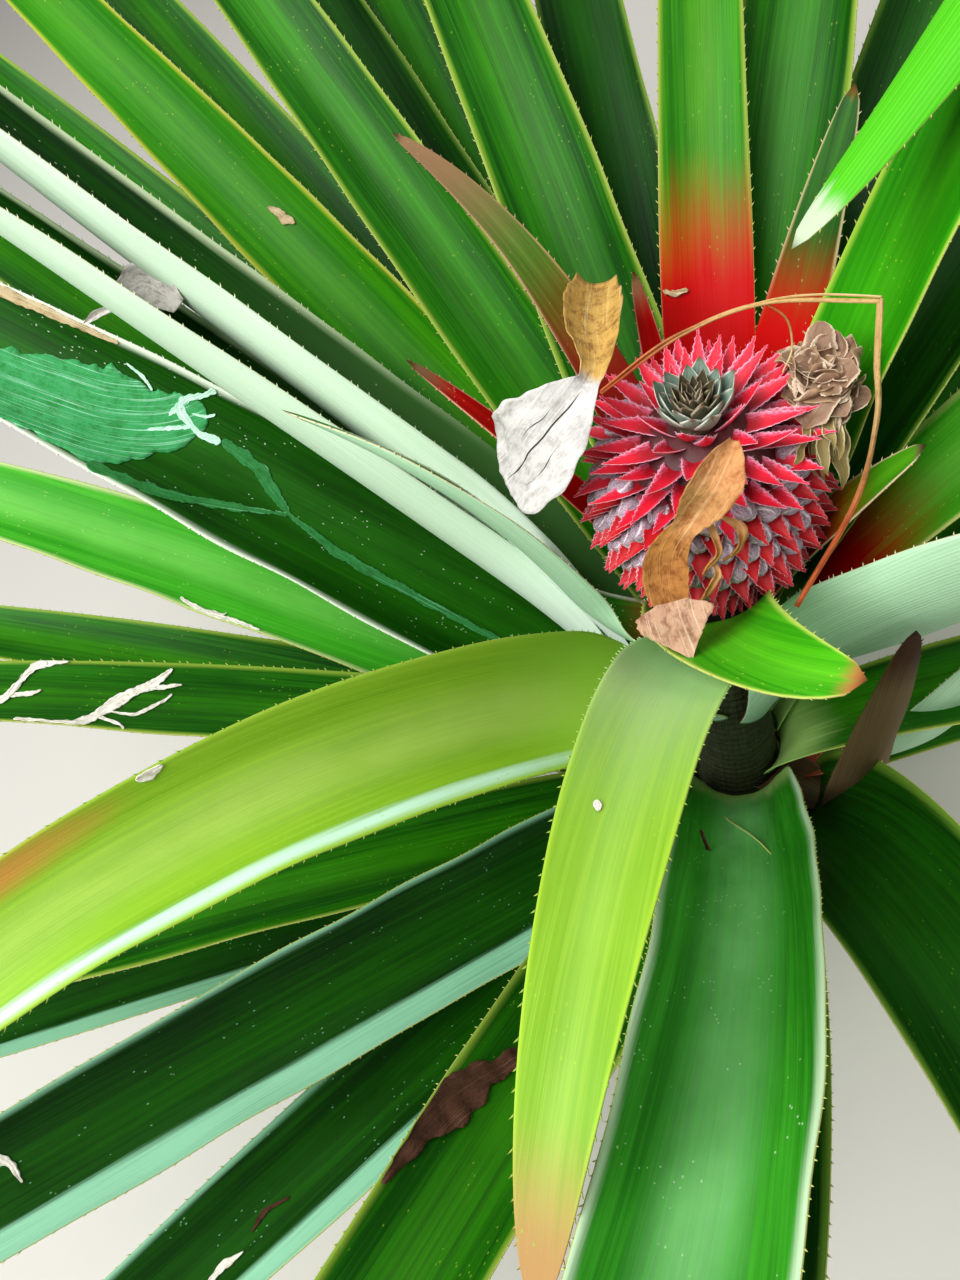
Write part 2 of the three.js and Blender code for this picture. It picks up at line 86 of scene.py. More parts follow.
class Pile:
    def __init__(self):
        self.points, self.lay, self.share, self.count = [], [], [], 0
        self.faces = {4: [], 3: []}  # the faces with four and with three corners, each array with its slot

    def addPoints(self, points, lay, share):
        start = self.count
        for gathered, values, wide in ((self.points, points, 3), (self.lay, lay, 2), (self.share, share, 2)):
            gathered.append(np.asarray(values, float).reshape(-1, wide))
        self.count += len(self.points[-1])
        return start

    def addFaces(self, faces, slot):
        corners = faces.shape[-1]
        self.faces[corners].append((faces.reshape(-1, corners), slot))

    def sheet(self, upper, lower, lay, share, slots=0):  # a closed sheet between two grids of points
        upperSlot, lowerSlot, edgeSlot = slots if isinstance(slots, tuple) else (slots, slots, slots)
        rows, cols = upper.shape[:2]
        size = rows * cols
        start = self.addPoints(upper, lay, share)
        self.addPoints(lower, lay, share)
        grid = start + np.arange(size).reshape(rows, cols)
        a, b, c, d = grid[:-1, :-1], grid[:-1, 1:], grid[1:, 1:], grid[1:, :-1]
        self.addFaces(np.stack([a, b, c, d], -1), upperSlot)
        self.addFaces(np.stack([a, d, c, b], -1) + size, lowerSlot)
        edge = np.concatenate([grid[0, :-1], grid[:-1, -1], grid[-1, :0:-1], grid[:0:-1, 0]])
        after = np.roll(edge, -1)
        self.addFaces(np.stack([after, edge, edge + size, after + size], -1), edgeSlot)

    def rings(self, rings, slot=0):  # a closed round form of rings that all turn the same way
        rows, cols = rings.shape[:2]
        around = np.linspace(0, 1, cols, endpoint=False)
        steps = np.linalg.norm(np.diff(rings.mean(axis=1), axis=0), axis=1)
        far = np.concatenate([[0], np.cumsum(steps)])
        girth = np.linalg.norm(np.roll(rings, -1, axis=1) - rings, axis=-1).sum(axis=1).max()
        share = pairs(around[None, :], (far / max(far[-1], 1e-9))[:, None])
        lay = pairs(around[None, :] * girth, far[:, None]) * mm
        start = self.addPoints(rings, lay, share)
        grid = start + np.arange(rows * cols).reshape(rows, cols)
        side = np.roll(grid, -1, axis=1)
        self.addFaces(np.stack([grid[:-1], side[:-1], side[1:], grid[1:]], -1), slot)
        for row, first, second in ((0, side, grid), (rows - 1, grid, side)):
            middle = self.addPoints(rings[row].mean(axis=0), lay[row].mean(axis=0), share[row].mean(axis=0))
            self.addFaces(np.stack([first[row], second[row], np.full(cols, middle)], -1), slot)

    def spikes(self, roots, tips, radii, across, slot=0, share=None):  # slim three-sided spikes
        roots, tips = np.asarray(roots, float), np.asarray(tips, float)
        along = unit(tips - roots)
        wide = unit(across - along * np.sum(across * along, -1, keepdims=True))
        deep = np.cross(along, wide)
        radii = np.broadcast_to(np.asarray(radii, float), len(roots))[:, None]
        count = len(roots)
        turns = (math.pi / 6, math.pi * 5 / 6, math.pi * 3 / 2)
        corners = [roots + radii * (wide * math.cos(turn) + 0.7 * deep * math.sin(turn)) for turn in turns]
        share = np.zeros((count, 2)) if share is None else np.asarray(share, float)
        places = np.stack([*corners, tips], 1)
        start = self.addPoints(places, np.repeat(share, 4, axis=0), np.repeat(share, 4, axis=0))
        base = start + 4 * np.arange(count)[:, None]
        for face in ((0, 1, 3), (1, 2, 3), (2, 0, 3), (2, 1, 0)):
            self.addFaces(base + np.array(face), slot)

    def build(self, name, materials, standsFor=(), slot=None):
        points = np.concatenate(self.points)
        corners, starts, slots, begin = [], [], [], 0
        for sides, groups in self.faces.items():
            for faces, faceSlot in groups:
                corners.append(faces.ravel())
                starts.append(begin + sides * np.arange(len(faces)))
                slots.append(np.full(len(faces), faceSlot))
                begin += faces.size
        corners, starts, slots = (np.concatenate(row).astype(np.int32) for row in (corners, starts, slots))
        mesh = bpy.data.meshes.new(name)
        mesh.vertices.add(len(points))
        mesh.vertices.foreach_set("co", (points * mm).ravel())
        mesh.loops.add(len(corners))
        mesh.loops.foreach_set("vertex_index", corners)
        mesh.polygons.add(len(starts))
        mesh.polygons.foreach_set("loop_start", starts)
        mesh.polygons.foreach_set("material_index", slots)
        mesh.update(calc_edges=True)
        for label, values in (("share", self.share), ("lay", self.lay)):
            layer = mesh.uv_layers.new(name=label)
            layer.data.foreach_set("uv", np.concatenate(values)[corners].ravel())
        for material in materials:
            mesh.materials.append(material)
        mesh.shade_smooth()
        piece = addObject(name, mesh)
        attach(piece, "root")
        if standsFor:
            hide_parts(*standsFor)
        return piece


# Shader nodes in short: put a node, count with numbers, blend colours

def put(tree, kind, feeds=None, **settings):
    node = tree.nodes.new("ShaderNode" + kind)
    for name, value in settings.items():
        setattr(node, name, value)
    for socket, value in (feeds or {}).items():
        if isinstance(value, bpy.types.NodeSocket):
            tree.links.new(value, node.inputs[socket])
        else:
            node.inputs[socket].default_value = value
    return node


def calc(tree, operation, *values, clamp=False):
    return put(tree, "Math", dict(enumerate(values)), operation=operation, use_clamp=clamp).outputs[0]


def scaled(tree, value, factor, more=0.0, clamp=False):
    return calc(tree, "MULTIPLY_ADD", value, factor, more, clamp=clamp)


def rest(tree, value):  # what is left of one
    return calc(tree, "SUBTRACT", 1.0, value)


def fade(tree, value, low, high):
    feeds = {"Value": value, "From Min": low, "From Max": high}
    return put(tree, "MapRange", feeds, interpolation_type="SMOOTHSTEP").outputs[0]


def blend(tree, share, first, second):
    return put(tree, "Mix", {0: share, 6: first, 7: second}, data_type="RGBA").outputs[2]


def vectors(tree, operation, *values):
    return put(tree, "VectorMath", dict(enumerate(values)), operation=operation).outputs


def axesOf(tree, vector):
    return put(tree, "SeparateXYZ", {0: vector}).outputs


def edgeOf(tree, axes):  # 0 on the middle line of a sheet, 1 at its margins
    return calc(tree, "ABSOLUTE", scaled(tree, axes[0], 2.0, -1.0))


def grain(tree, vector, factors, detail=2.0, rough=0.5):  # noise, with one over its size along each axis
    place = vectors(tree, "MULTIPLY", vector, factors)[0]
    feeds = {"Vector": place, "Scale": 1.0, "Detail": detail, "Roughness": rough}
    return put(tree, "TexNoise", feeds).outputs[0]


def socketLabel(key):  # middleShare becomes Middle Share
    return "".join(" " + letter if letter.isupper() else letter for letter in key).title()


def makeGroup(name, inputs, outputs):  # an input is named with its kind, or with the number it starts from
    tree = bpy.data.node_groups.new(name, "ShaderNodeTree")
    for label, kind in inputs.items():
        kind, value = (kind, None) if isinstance(kind, str) else ("Float", kind)
        socket = tree.interface.new_socket(name=label, in_out="INPUT", socket_type="NodeSocket" + kind)
        if value is not None:
            socket.default_value = value
    for label in outputs:
        kind = "Color" if label == "Color" else "Float"
        tree.interface.new_socket(name=label, in_out="OUTPUT", socket_type="NodeSocket" + kind)
    return tree, tree.nodes.new("NodeGroupInput").outputs, tree.nodes.new("NodeGroupOutput")


def wireOut(tree, output, *values):
    for socket, value in zip(output.inputs, values):
        tree.links.new(value, socket)
    return tree


def useGroup(tree, groupTree, feeds):
    return put(tree, "Group", feeds, node_tree=groupTree).outputs


def shifted(tree, given, across=1.0):  # the place on a piece, moved by its seed so that no two are alike
    shift = put(tree, "CombineXYZ", {0: scaled(tree, given["Seed"], across), 1: given["Seed"]}).outputs[0]
    return vectors(tree, "ADD", given["Lay"], shift)[0]


def makeMaterial(name, paint, bump=0.3, depth=0.0004, **constants):
    # paint(tree, lay, share) gives the colour, roughness and height sockets of one material
    material = bpy.data.materials.new(name)
    material.use_nodes = True
    tree = material.node_tree
    shader = tree.nodes["Principled BSDF"]
    lay = put(tree, "UVMap", uv_map="lay").outputs[0]
    share = put(tree, "UVMap", uv_map="share").outputs[0]
    colour, roughness, height = paint(tree, lay, share)
    tree.links.new(colour, shader.inputs["Base Color"])
    tree.links.new(roughness, shader.inputs["Roughness"])
    relief = put(tree, "Bump", {"Height": height, "Strength": bump, "Distance": depth})
    tree.links.new(relief.outputs[0], shader.inputs["Normal"])
    for label, value in constants.items():
        shader.inputs[label.replace("_", " ")].default_value = value
    return material


# The long lines of a leaf: fine veins, broader bands, and slow patches

def makeLeafLines():
    lines = {"Fine": ((1500, 16, 1), 3.0, 0.6), "Vein": ((460, 5, 1), 3.0, 0.6),
             "Band": ((90, 2.6, 1), 2.0, 0.5), "Patch": ((26, 9, 1), 4.0, 0.6)}
    tree, given, output = makeGroup("leafLines", {"Lay": "Vector", "Seed": 0.0}, lines)
    place = shifted(tree, given, 0.37)
    return wireOut(tree, output, *(grain(tree, place, *line) for line in lines.values()))


leafLines = makeLeafLines()


# Small pale flecks of scurf, scattered where the mask noise lets them

def makeFlecks():
    inputs = {"Lay": "Vector", "Seed": 0.0, "Size": 0.14, "Cover": 0.55}
    tree, given, output = makeGroup("scurfFlecks", inputs, ["Mask"])
    place = shifted(tree, given)
    crossed = vectors(tree, "MULTIPLY", place, (420, 230, 1))[0]
    dots = put(tree, "TexVoronoi", {"Vector": crossed, "Scale": 1.0})
    near = calc(tree, "LESS_THAN", dots.outputs["Distance"], given["Size"])
    allowed = calc(tree, "GREATER_THAN", grain(tree, place, (60, 30, 1), 3.0, 0.6), given["Cover"])
    return wireOut(tree, output, calc(tree, "MULTIPLY", near, allowed))


scurfFlecks = makeFlecks()
surfaceParts = ["Color", "Roughness", "Height"]


def reachShare(tree, distance, reach):  # a distance as a share of a reach that may be nothing
    return calc(tree, "DIVIDE", distance, calc(tree, "MAXIMUM", reach, 0.0001))


def surfaceOf(tree, groupTree, feeds):
    made = useGroup(tree, groupTree, feeds)
    return [made[part] for part in surfaceParts]


# The green upper side: deep and bright bands, a paler middle, a coloured base, margins and tip

def makeLeafUpper():
    inputs = {
        "Lay": "Vector", "Share": "Vector", "Seed": 0.0, "Deep": "Color", "Bright": "Color", "Middle": "Color",
        "Middle Share": 0.0, "Margin": "Color", "Base": "Color", "Base Reach": 0.0, "Base Soft": 0.35,
        "Tip": "Color", "Tip Reach": 0.0, "Spot": "Color", "Spot At": "Vector", "Spot Size": "Vector",
        "Flank": "Color", "Flank At": 2.0,
    }
    tree, given, output = makeGroup("leafUpper", inputs, surfaceParts)
    lines = useGroup(tree, leafLines, {"Lay": given["Lay"], "Seed": given["Seed"]})
    axes = axesOf(tree, given["Share"])
    edge = edgeOf(tree, axes)
    band = scaled(tree, lines["Band"], 1.5, -0.45)
    vein = scaled(tree, lines["Vein"], 1.3, -0.65)
    fine = scaled(tree, lines["Fine"], 0.8, -0.4)
    spread = calc(tree, "ADD", calc(tree, "ADD", vein, fine), scaled(tree, lines["Patch"], 0.8, -0.4))
    colour = blend(tree, calc(tree, "ADD", spread, band, clamp=True), given["Deep"], given["Bright"])
    # The paler middle along the leaf's middle line; on leaf_front_broad and leaf_front_left_arching it is a
    # painted sheen of light.
    middle = rest(tree, fade(tree, scaled(tree, vein, 0.15, edge), 0.05, 0.6))
    middle = calc(tree, "MULTIPLY", middle, scaled(tree, lines["Patch"], 1.2, -0.1, clamp=True))
    colour = blend(tree, scaled(tree, middle, given["Middle Share"], clamp=True), colour, given["Middle"])
    past = calc(tree, "SUBTRACT", axes[0], given["Flank At"])
    toned = blend(tree, scaled(tree, spread, 0.8, clamp=True), given["Flank"], given["Bright"])
    colour = blend(tree, fade(tree, scaled(tree, spread, 0.05, past), -0.03, 0.03), colour, toned)
    colour = blend(tree, fade(tree, scaled(tree, spread, 0.04, edge), 0.86, 0.985), colour, given["Margin"])
    ragged = scaled(tree, calc(tree, "ADD", vein, band), 0.035, axes[1])
    base = fade(tree, reachShare(tree, ragged, given["Base Reach"]), rest(tree, given["Base Soft"]), 1.15)
    colour = blend(tree, rest(tree, base), colour, given["Base"])
    offset = vectors(tree, "SUBTRACT", given["Share"], given["Spot At"])[0]
    far = vectors(tree, "LENGTH", vectors(tree, "MULTIPLY", offset, given["Spot Size"])[0])[1]
    colour = blend(tree, fade(tree, scaled(tree, lines["Patch"], 0.7, far), 1.3, 0.55), colour, given["Spot"])
    fromTip = rest(tree, scaled(tree, spread, 0.03, axes[1]))
    tip = fade(tree, reachShare(tree, fromTip, given["Tip Reach"]), 0.2, 1.0)
    colour = blend(tree, rest(tree, tip), colour, given["Tip"])
    flecks = useGroup(tree, scurfFlecks, {"Lay": given["Lay"], "Seed": given["Seed"]})
    colour = blend(tree, scaled(tree, flecks["Mask"], 0.5), colour, given["Margin"])
    rough = scaled(tree, lines["Patch"], 0.22, 0.34)
    height = scaled(tree, lines["Fine"], 0.35, scaled(tree, lines["Vein"], 0.65))
    return wireOut(tree, output, colour, rough, height)


leafUpper = makeLeafUpper()


# The mealy under side: pale lines between thin green ones

def makeLeafUnder():
    inputs = {
        "Lay": "Vector", "Share": "Vector", "Seed": 0.0, "Pale": "Color", "Line": "Color", "Line Share": 0.5,
        "Base": "Color", "Base Reach": 0.0, "Tip": "Color", "Tip Reach": 0.0,
    }
    tree, given, output = makeGroup("leafUnder", inputs, surfaceParts)
    lines = useGroup(tree, leafLines, {"Lay": given["Lay"], "Seed": given["Seed"]})
    along = axesOf(tree, given["Share"])[1]
    combed = calc(tree, "SINE", scaled(tree, axesOf(tree, given["Lay"])[0], 4200.0))
    combed = scaled(tree, combed, 0.28, scaled(tree, lines["Vein"], 1.6, -0.55))
    combed = scaled(tree, lines["Band"], 0.6, combed)
    colour = blend(tree, scaled(tree, combed, given["Line Share"], clamp=True), given["Pale"], given["Line"])
    base = fade(tree, reachShare(tree, scaled(tree, lines["Vein"], 0.1, along), given["Base Reach"]), 0.3, 1.2)
    colour = blend(tree, rest(tree, base), colour, given["Base"])
    fromTip = rest(tree, scaled(tree, lines["Vein"], 0.05, along))
    tip = fade(tree, reachShare(tree, fromTip, given["Tip Reach"]), 0.2, 1.0)
    colour = blend(tree, rest(tree, tip), colour, given["Tip"])
    feeds = {"Lay": given["Lay"], "Seed": given["Seed"], "Size": 0.2, "Cover": 0.64}
    scuffs = useGroup(tree, scurfFlecks, feeds)
    colour = blend(tree, scaled(tree, scuffs["Mask"], 0.45), colour, given["Line"])
    height = scaled(tree, combed, 0.5, lines["Fine"])
    return wireOut(tree, output, colour, scaled(tree, lines["Patch"], 0.2, 0.5), height)


leafUnder = makeLeafUnder()


# Dry tissue: papery, with fibres along it, brown blots and paler worn crests

def makeDryTissue():
    inputs = {"Lay": "Vector", "Seed": 0.0, "Ground": "Color", "Stain": "Color", "Worn": "Color",
              "Stain Share": 0.5}
    tree, given, output = makeGroup("dryTissue", inputs, surfaceParts)
    lines = useGroup(tree, leafLines, {"Lay": given["Lay"], "Seed": given["Seed"]})
    place = shifted(tree, given)
    blots = grain(tree, place, (190, 120, 1), 5.0, 0.65)
    small = grain(tree, place, (900, 500, 1), 4.0, 0.6)
    stained = fade(tree, scaled(tree, small, 0.35, blots), 0.6, 0.86)
    colour = blend(tree, scaled(tree, stained, given["Stain Share"]), given["Ground"], given["Stain"])
    worn = fade(tree, scaled(tree, lines["Vein"], 0.6, lines["Fine"]), 0.84, 1.05)
    colour = blend(tree, scaled(tree, worn, 0.7), colour, given["Worn"])
    height = scaled(tree, lines["Vein"], 0.9, scaled(tree, small, 0.7))
    return wireOut(tree, output, colour, scaled(tree, small, 0.15, 0.7), height)


dryTissue = makeDryTissue()


def drySurface(tree, lay, seed, ground, stain, worn, stainShare):
    tones = {"Ground": ground, "Stain": stain, "Worn": worn}
    return surfaceOf(tree, dryTissue, {"Lay": lay, "Seed": seed, "Stain Share": stainShare, **tones})


def dryMaterial(name, ground, stain, worn, stainShare, seed, bump=0.7, depth=0.0008, specular=0.2):
    def paint(tree, lay, share):
        return drySurface(tree, lay, seed, tone(ground), tone(stain), tone(worn), stainShare)
    return makeMaterial(name, paint, bump=bump, depth=depth, Specular_IOR_Level=specular)


print("Shader groups are made")

# Paints of the leaves. Deep and bright are the green upper side, pale and line the mealy under side.
# A spot is a blotch at a share of the width and of the length, with one over its size in those shares, and a
# flank is a pale band that begins at a share of the width.
greenPaint = {
    "deep": "0a4201", "bright": "2c8002", "middle": "489a08", "middleShare": 0.35, "margin": "809e34",
    "base": "9cc46a", "baseReach": 0.1, "baseSoft": 0.5, "tip": "7a5a2c", "tipReach": 0.03,
    "pale": "bfe2b4", "line": "6fae5c", "lineShare": 0.5, "underBase": "dff0da", "rim": "b8bc6a",
    "spot": "ffffff", "spotAt": (0, 0, 0), "spotSize": (99, 99, 99), "flank": "ffffff", "flankAt": 2.0,
}
paints = {
    "green": {},
    "shade": {"deep": "062c01", "bright": "185a02", "middle": "267208", "margin": "62882c", "pale": "b4d6a4"},
    "sun": {"deep": "1c6a02", "bright": "409606", "middle": "60ac10", "margin": "a0ac34"},
    "fresh": {"deep": "2a8c12", "bright": "4cb42a", "middle": "84cc60", "middleShare": 0.6,
              "margin": "b0c880"},
    "freshRed": {"deep": "2f8c10", "bright": "5cb428", "middle": "84c850", "middleShare": 0.6,
                 "margin": "b8c870", "base": "b40402", "baseReach": 0.24, "baseSoft": 0.3,
                 "underBase": "b84030"},
    "channel": {"deep": "083203", "bright": "1c6006", "middle": "2a760c", "margin": "c8dcae", "pale": "d4ecd0",
                "line": "a6d0a0", "lineShare": 0.4, "underBase": "eefaf0", "baseReach": 0.5, "base": "4a7a3a",
                "rim": "dde0b8"},
    "film": {"deep": "0a3600", "bright": "1a5e04", "middle": "2c7c0c", "margin": "e0ecd4", "rim": "e6ecd8"},
    # The pale bluish middle of this paint, spread over most of the blade, is a painted sheen of sky light on a
    # green leaf.
    "blue": {"deep": "207610", "bright": "44ae2a", "middle": "90d88a", "middleShare": 0.9, "margin": "c8e4bc"},
    # The pale middle of this paint is a painted sheen, and its bright base is partly painted light on a part
    # that faces away from the lamps.
    "yellow": {"deep": "6ea018", "bright": "90bc2c", "middle": "b8d070", "middleShare": 0.7,
               "margin": "8fb830", "base": "a4dc44", "baseReach": 0.3, "tip": "a87a34", "tipReach": 0.2,
               "pale": "c4e6b8", "rim": "94ac44", "spot": "b8883c", "spotAt": (0.12, 0.66, 0),
               "spotSize": (5, 8, 1), "flank": "bce4c8", "flankAt": 0.88},
    "lime": {"deep": "689a1a", "bright": "92ba38", "middle": "a4c85c", "middleShare": 0.5, "margin": "94bc30",
             "base": "cceeb4", "baseReach": 0.6, "baseSoft": 0.7, "tip": "b08a58", "tipReach": 0.14,
             "rim": "94ac44"},
    "redBase": {"deep": "1c6206", "bright": "3f960c", "middle": "62a81c", "middleShare": 0.6,
                "base": "b40201", "baseReach": 0.39, "baseSoft": 0.16, "underBase": "d07058",
                "margin": "7f9a30"},
    "redHeart": {"deep": "0f3c08", "bright": "2c6c10", "middle": "3c7a1c", "margin": "a8a070",
                 "base": "b80301", "baseReach": 0.7, "baseSoft": 0.14, "underBase": "c82a20", "rim": "c8b890"},
    "spiny": {"deep": "2c5c10", "bright": "6c8a34", "middle": "587c2c", "margin": "a88a5c", "base": "8c1c14",
              "baseReach": 0.66, "baseSoft": 0.3, "tip": "8a6a4a", "tipReach": 0.3, "rim": "b89a80"},
    "folded": {"deep": "1f8006", "bright": "3fb40c", "middle": "5cc41c", "margin": "9cc840", "pale": "58c41c",
               "line": "34a00c", "lineShare": 0.7, "underBase": "34880c", "tip": "b8c8a8", "tipReach": 0.03},
    "curled": {"deep": "2c8c08", "bright": "58c014", "middle": "74cc2c", "middleShare": 0.5,
               "margin": "a8c450", "base": "7cb450", "baseReach": 0.3, "tip": "a86a3c", "tipReach": 0.06,
               "pale": "b8dca0"},
    "mint": {"deep": "1c6a0c", "bright": "489c24", "margin": "dfe8cc", "pale": "c8ecc8", "line": "8cc890",
             "base": "8a3a1c", "baseReach": 0.16, "underBase": "b8dcc0", "rim": "d4d4a8"},
    "red": {"deep": "980604", "bright": "d4120a", "middle": "c81008", "margin": "e0907a", "base": "d00a08",
            "baseReach": 0.7, "tip": "7a5a3c", "tipReach": 0.14, "pale": "b83a2c", "line": "8c1a10",
            "underBase": "b81810", "rim": "e8a888"},
    "redEdge": {"deep": "2a7008", "bright": "54a414", "middle": "68b424", "margin": "c8b088", "base": "c81008",
                "baseReach": 0.74, "baseSoft": 0.3, "tip": "6a5a3c", "tipReach": 0.06, "pale": "b8c890",
                "underBase": "b8402c", "rim": "dccca0"},
    "dead": {"deep": "3c2c14", "bright": "6c5a34", "middle": "84704a", "margin": "5a4428", "base": "4a3a24",
             "tip": "3c2416", "tipReach": 0.2, "pale": "746040", "line": "4c3c24", "underBase": "4a3a24",
             "rim": "5a4428"},
}
paints["shadeBand"] = {**paints["shade"], "margin": "8cc4a0", "flank": "94d0ac", "flankAt": 0.78}
upperKeys = ("deep", "bright", "middle", "middleShare", "margin", "base", "baseReach", "baseSoft", "tip",
             "tipReach", "spot", "spotAt", "spotSize", "flank", "flankAt")
underKeys = ("pale", "line", "lineShare", "tip", "tipReach")
underBaseReach = 0.7  # the base colour reaches less far up the under side


def leafMaterials(name, paint, seed):
    look = {**greenPaint, **paints[paint]}
    values = {key: tone(value) if isinstance(value, str) else value for key, value in look.items()}

    def paintUpper(tree, lay, share):
        feeds = {socketLabel(key): values[key] for key in upperKeys}
        return surfaceOf(tree, leafUpper, {"Lay": lay, "Share": share, "Seed": seed, **feeds})

    def paintUnder(tree, lay, share):
        feeds = {socketLabel(key): values[key] for key in underKeys}
        feeds.update({"Base": values["underBase"], "Base Reach": values["baseReach"] * underBaseReach})
        return surfaceOf(tree, leafUnder, {"Lay": lay, "Share": share, "Seed": seed, **feeds})

    def paintRim(tree, lay, share):
        lines = useGroup(tree, leafLines, {"Lay": lay, "Seed": seed})
        along = axesOf(tree, share)[1]
        green = fade(tree, along, look["baseReach"] * 0.4, look["baseReach"] + 0.02)
        colour = blend(tree, green, values["base"], values["rim"])
        colour = blend(tree, fade(tree, along, 1 - look["tipReach"], 1.0), colour, values["tip"])
        return colour, scaled(tree, lines["Fine"], 0.2, 0.45), lines["Fine"]

    return [
        makeMaterial(name + "_upper", paintUpper, bump=0.5, depth=0.0005, Specular_IOR_Level=0.12),
        makeMaterial(name + "_under", paintUnder, bump=0.45, depth=0.0004, Specular_IOR_Level=0.15),
        makeMaterial(name + "_rim", paintRim, bump=0.2, Specular_IOR_Level=0.15),
    ]


# Leaves. Each one is the blade of its solid, in millimetres and degrees: the heading of its base, the drop
# below the stem's top, its rise, how far it bends over and swings by its tip, and its roll. Wave lifts its
# margins, and a cut leaf stands for two solids.
stem = {"height": 335, "footRadius": 44, "lowRadius": 36.5, "topRadius": 16, "flareHeight": 14}
blade = {
    "startRise": 76, "relaxLength": 40, "hollow": 45, "leastClimb": 0.25, "gripAngle": 50, "gripRoom": 1.3,
    "gripDepth": 1, "openShare": 0.22, "taperShare": 0.3, "taperPower": 2.2, "narrowing": 0.35,
    "rollShare": 0.3, "rowStep": 5.5, "rowPower": 1.05, "fineSteps": 6, "columns": 18, "columnPower": 1.35,
    "middleThickness": 3.4, "edgeThickness": 0.7, "thicknessPower": 2.5,
    "wave": 1.6, "waveSize": 95, "ridge": 0.35, "ridgeSize": 160, "ridgeNarrowing": 9, "calmLength": 120,
    "calmHalfWidth": 20, "spineStep": 6.5, "spineLength": 1.9, "spineRadius": 0.55,
    "spineSpan": (0.1, 0.985), "shortLeaf": 300, "shortSpineSpan": (0.2, 0.99),
}


def leafRow(azimuth, drop, rise, bend, length, width, paint="green", **more):
    return {"azimuth": azimuth, "drop": drop, "rise": rise, "bend": bend, "length": length, "width": width,
            "paint": paint, **more}


leafTable = {
    "leaf_back_middle": leafRow(83, 25, 58, 75, 525, 44, "redBase"),
    "leaf_back_right": leafRow(71, 37, 50, 40, 620, 60),
    "leaf_back_broad": leafRow(58, 69, 47, 45, 600, 62, "shade"),
    "leaf_back_low": leafRow(97, 90, 44, 40, 640, 58, "shade"),
    "leaf_back_left": leafRow(108, 55, 47, 45, 640, 60, roll=-15),
    "leaf_left_back_low": leafRow(119, 100, 38, 20, 720, 58, "shade", roll=-14),
    "leaf_left_back": leafRow(126, 76, 44, 20, 700, 54, roll=-20),
    "leaf_left_long": leafRow(135, 118, 36, 12, 800, 62, "sun", roll=-26),
    "leaf_left_channel_upper": leafRow(154, 122, 47, -8, 720, 82, "channel", roll=40, hollow=23),
    "leaf_left_channel_lower": leafRow(160, 160, 52, 0, 700, 74, "channel", roll=50, hollow=27),
    "leaf_left_wide": leafRow(161, 190, 42, 5, 700, 108, "film", roll=-20),
    "leaf_left_under": leafRow(167, 225, 36, 18, 700, 74, "fresh", roll=-15),
    "leaf_left_narrow": leafRow(187, 211, 40, 20, 640, 56),
    "leaf_front_left_arching": leafRow(218, 92, 54, 110, 620, 70, "yellow", roll=-35, cut=True),
    "leaf_front_left_low": leafRow(204, 312, 30, 16, 700, 60, "shadeBand"),
    "leaf_front_left_long": leafRow(219, 255, 34, 12, 760, 80, "shadeBand", roll=-20),
    "leaf_front_left_dark": leafRow(246, 235, 45, 20, 700, 72),
    "leaf_front_drooping": leafRow(257, 40, 64, 100, 392, 54, "lime"),
    "leaf_front_broad": leafRow(269, 205, 56, 30, 700, 78, "blue", swing=-35, open=0.06),
    "leaf_front_edge": leafRow(271, 246, 56, 30, 700, 64, "shade", swing=-34, open=0.08),
    "leaf_front_right_drooping": leafRow(296, 290, 76, 140, 540, 110, "shade",
        cut=True, swing=-20, open=0.25),
    "leaf_front_right": leafRow(327, 100, 60, 20, 480, 86, "mint",
        roll=-60, relax=70, hollow=60, open=0.3),
    "leaf_right_low": leafRow(348, 205, 18, 0, 400, 42, "mint",
        roll=-70, relax=10, knee={"at": 0.2, "angle": -56, "soft": 0.2}),
    "leaf_right": leafRow(12, 76, 50, 40, 600, 54, "freshRed"),
    "leaf_right_back": leafRow(32, 50, 54, 30, 560, 56, "shade"),
    "heart_leaf_left": leafRow(171, 45, 25, 45, 270, 42, "mint",
        roll=50, hollow=30, relax=8, knee={"at": 0.2, "angle": -52, "soft": 0.2}),
    "heart_leaf_back_left": leafRow(118, 10, 62, 30, 278, 28, "spiny", swing=34),
    "heart_leaf_red_left": leafRow(166, 1, 62, 10, 206, 18, "red"),
    "heart_leaf_red_right": leafRow(350, 4, 62, 10, 148, 32, "redEdge"),
    "heart_leaf_back_right": leafRow(56, 14, 62, 10, 242, 38, "redHeart"),
    "heart_leaf_curled": leafRow(262, 2, 60, 40, 200, 64, "curled", swing=76, open=0.12),
    "heart_leaf_red_spike": leafRow(104, 0, 68, 0, 172, 18, "red"),
}
skirtRows = [  # the lower leaves that close the rosette all round
    (20, 115, 34, 30, 680, 56), (352, 185, 34, 40, 660, 56), (42, 165, 28, 25, 700, 56),
    (85, 175, 28, 25, 700, 56), (142, 155, 37, 10, 780, 66), (5, 262, 20, 15, 680, 54),
    (65, 260, 20, 15, 680, 54), (112, 285, 20, 15, 680, 54), (174, 262, 30, 15, 680, 64),
    (318, 285, 24, 18, 640, 54), (204, 262, 34, 14, 700, 64), (130, 145, 38, 16, 760, 64),
    (113, 135, 38, 22, 740, 60), (229, 275, 31, 8, 740, 72, "shadeBand"), (152, 205, 41, 2, 740, 60),
]
leafTable.update({"skirt_leaf_%d" % (number + 1): leafRow(*row) for number, row in enumerate(skirtRows)})
leafTable.update({  # the folded leaf and the dead one
    "leaf_folded": leafRow(28, 31, 70, 18, 440, 50, "folded",
        fold={"at": 0.735, "angle": -162, "soft": 0.05}, cut=True),
    "dead_leaf_right": leafRow(320, 195, 12, 0, 300, 34, "dead",
        roll=-40, relax=8, knee={"at": 0.19, "angle": -74, "soft": 0.12}),
})


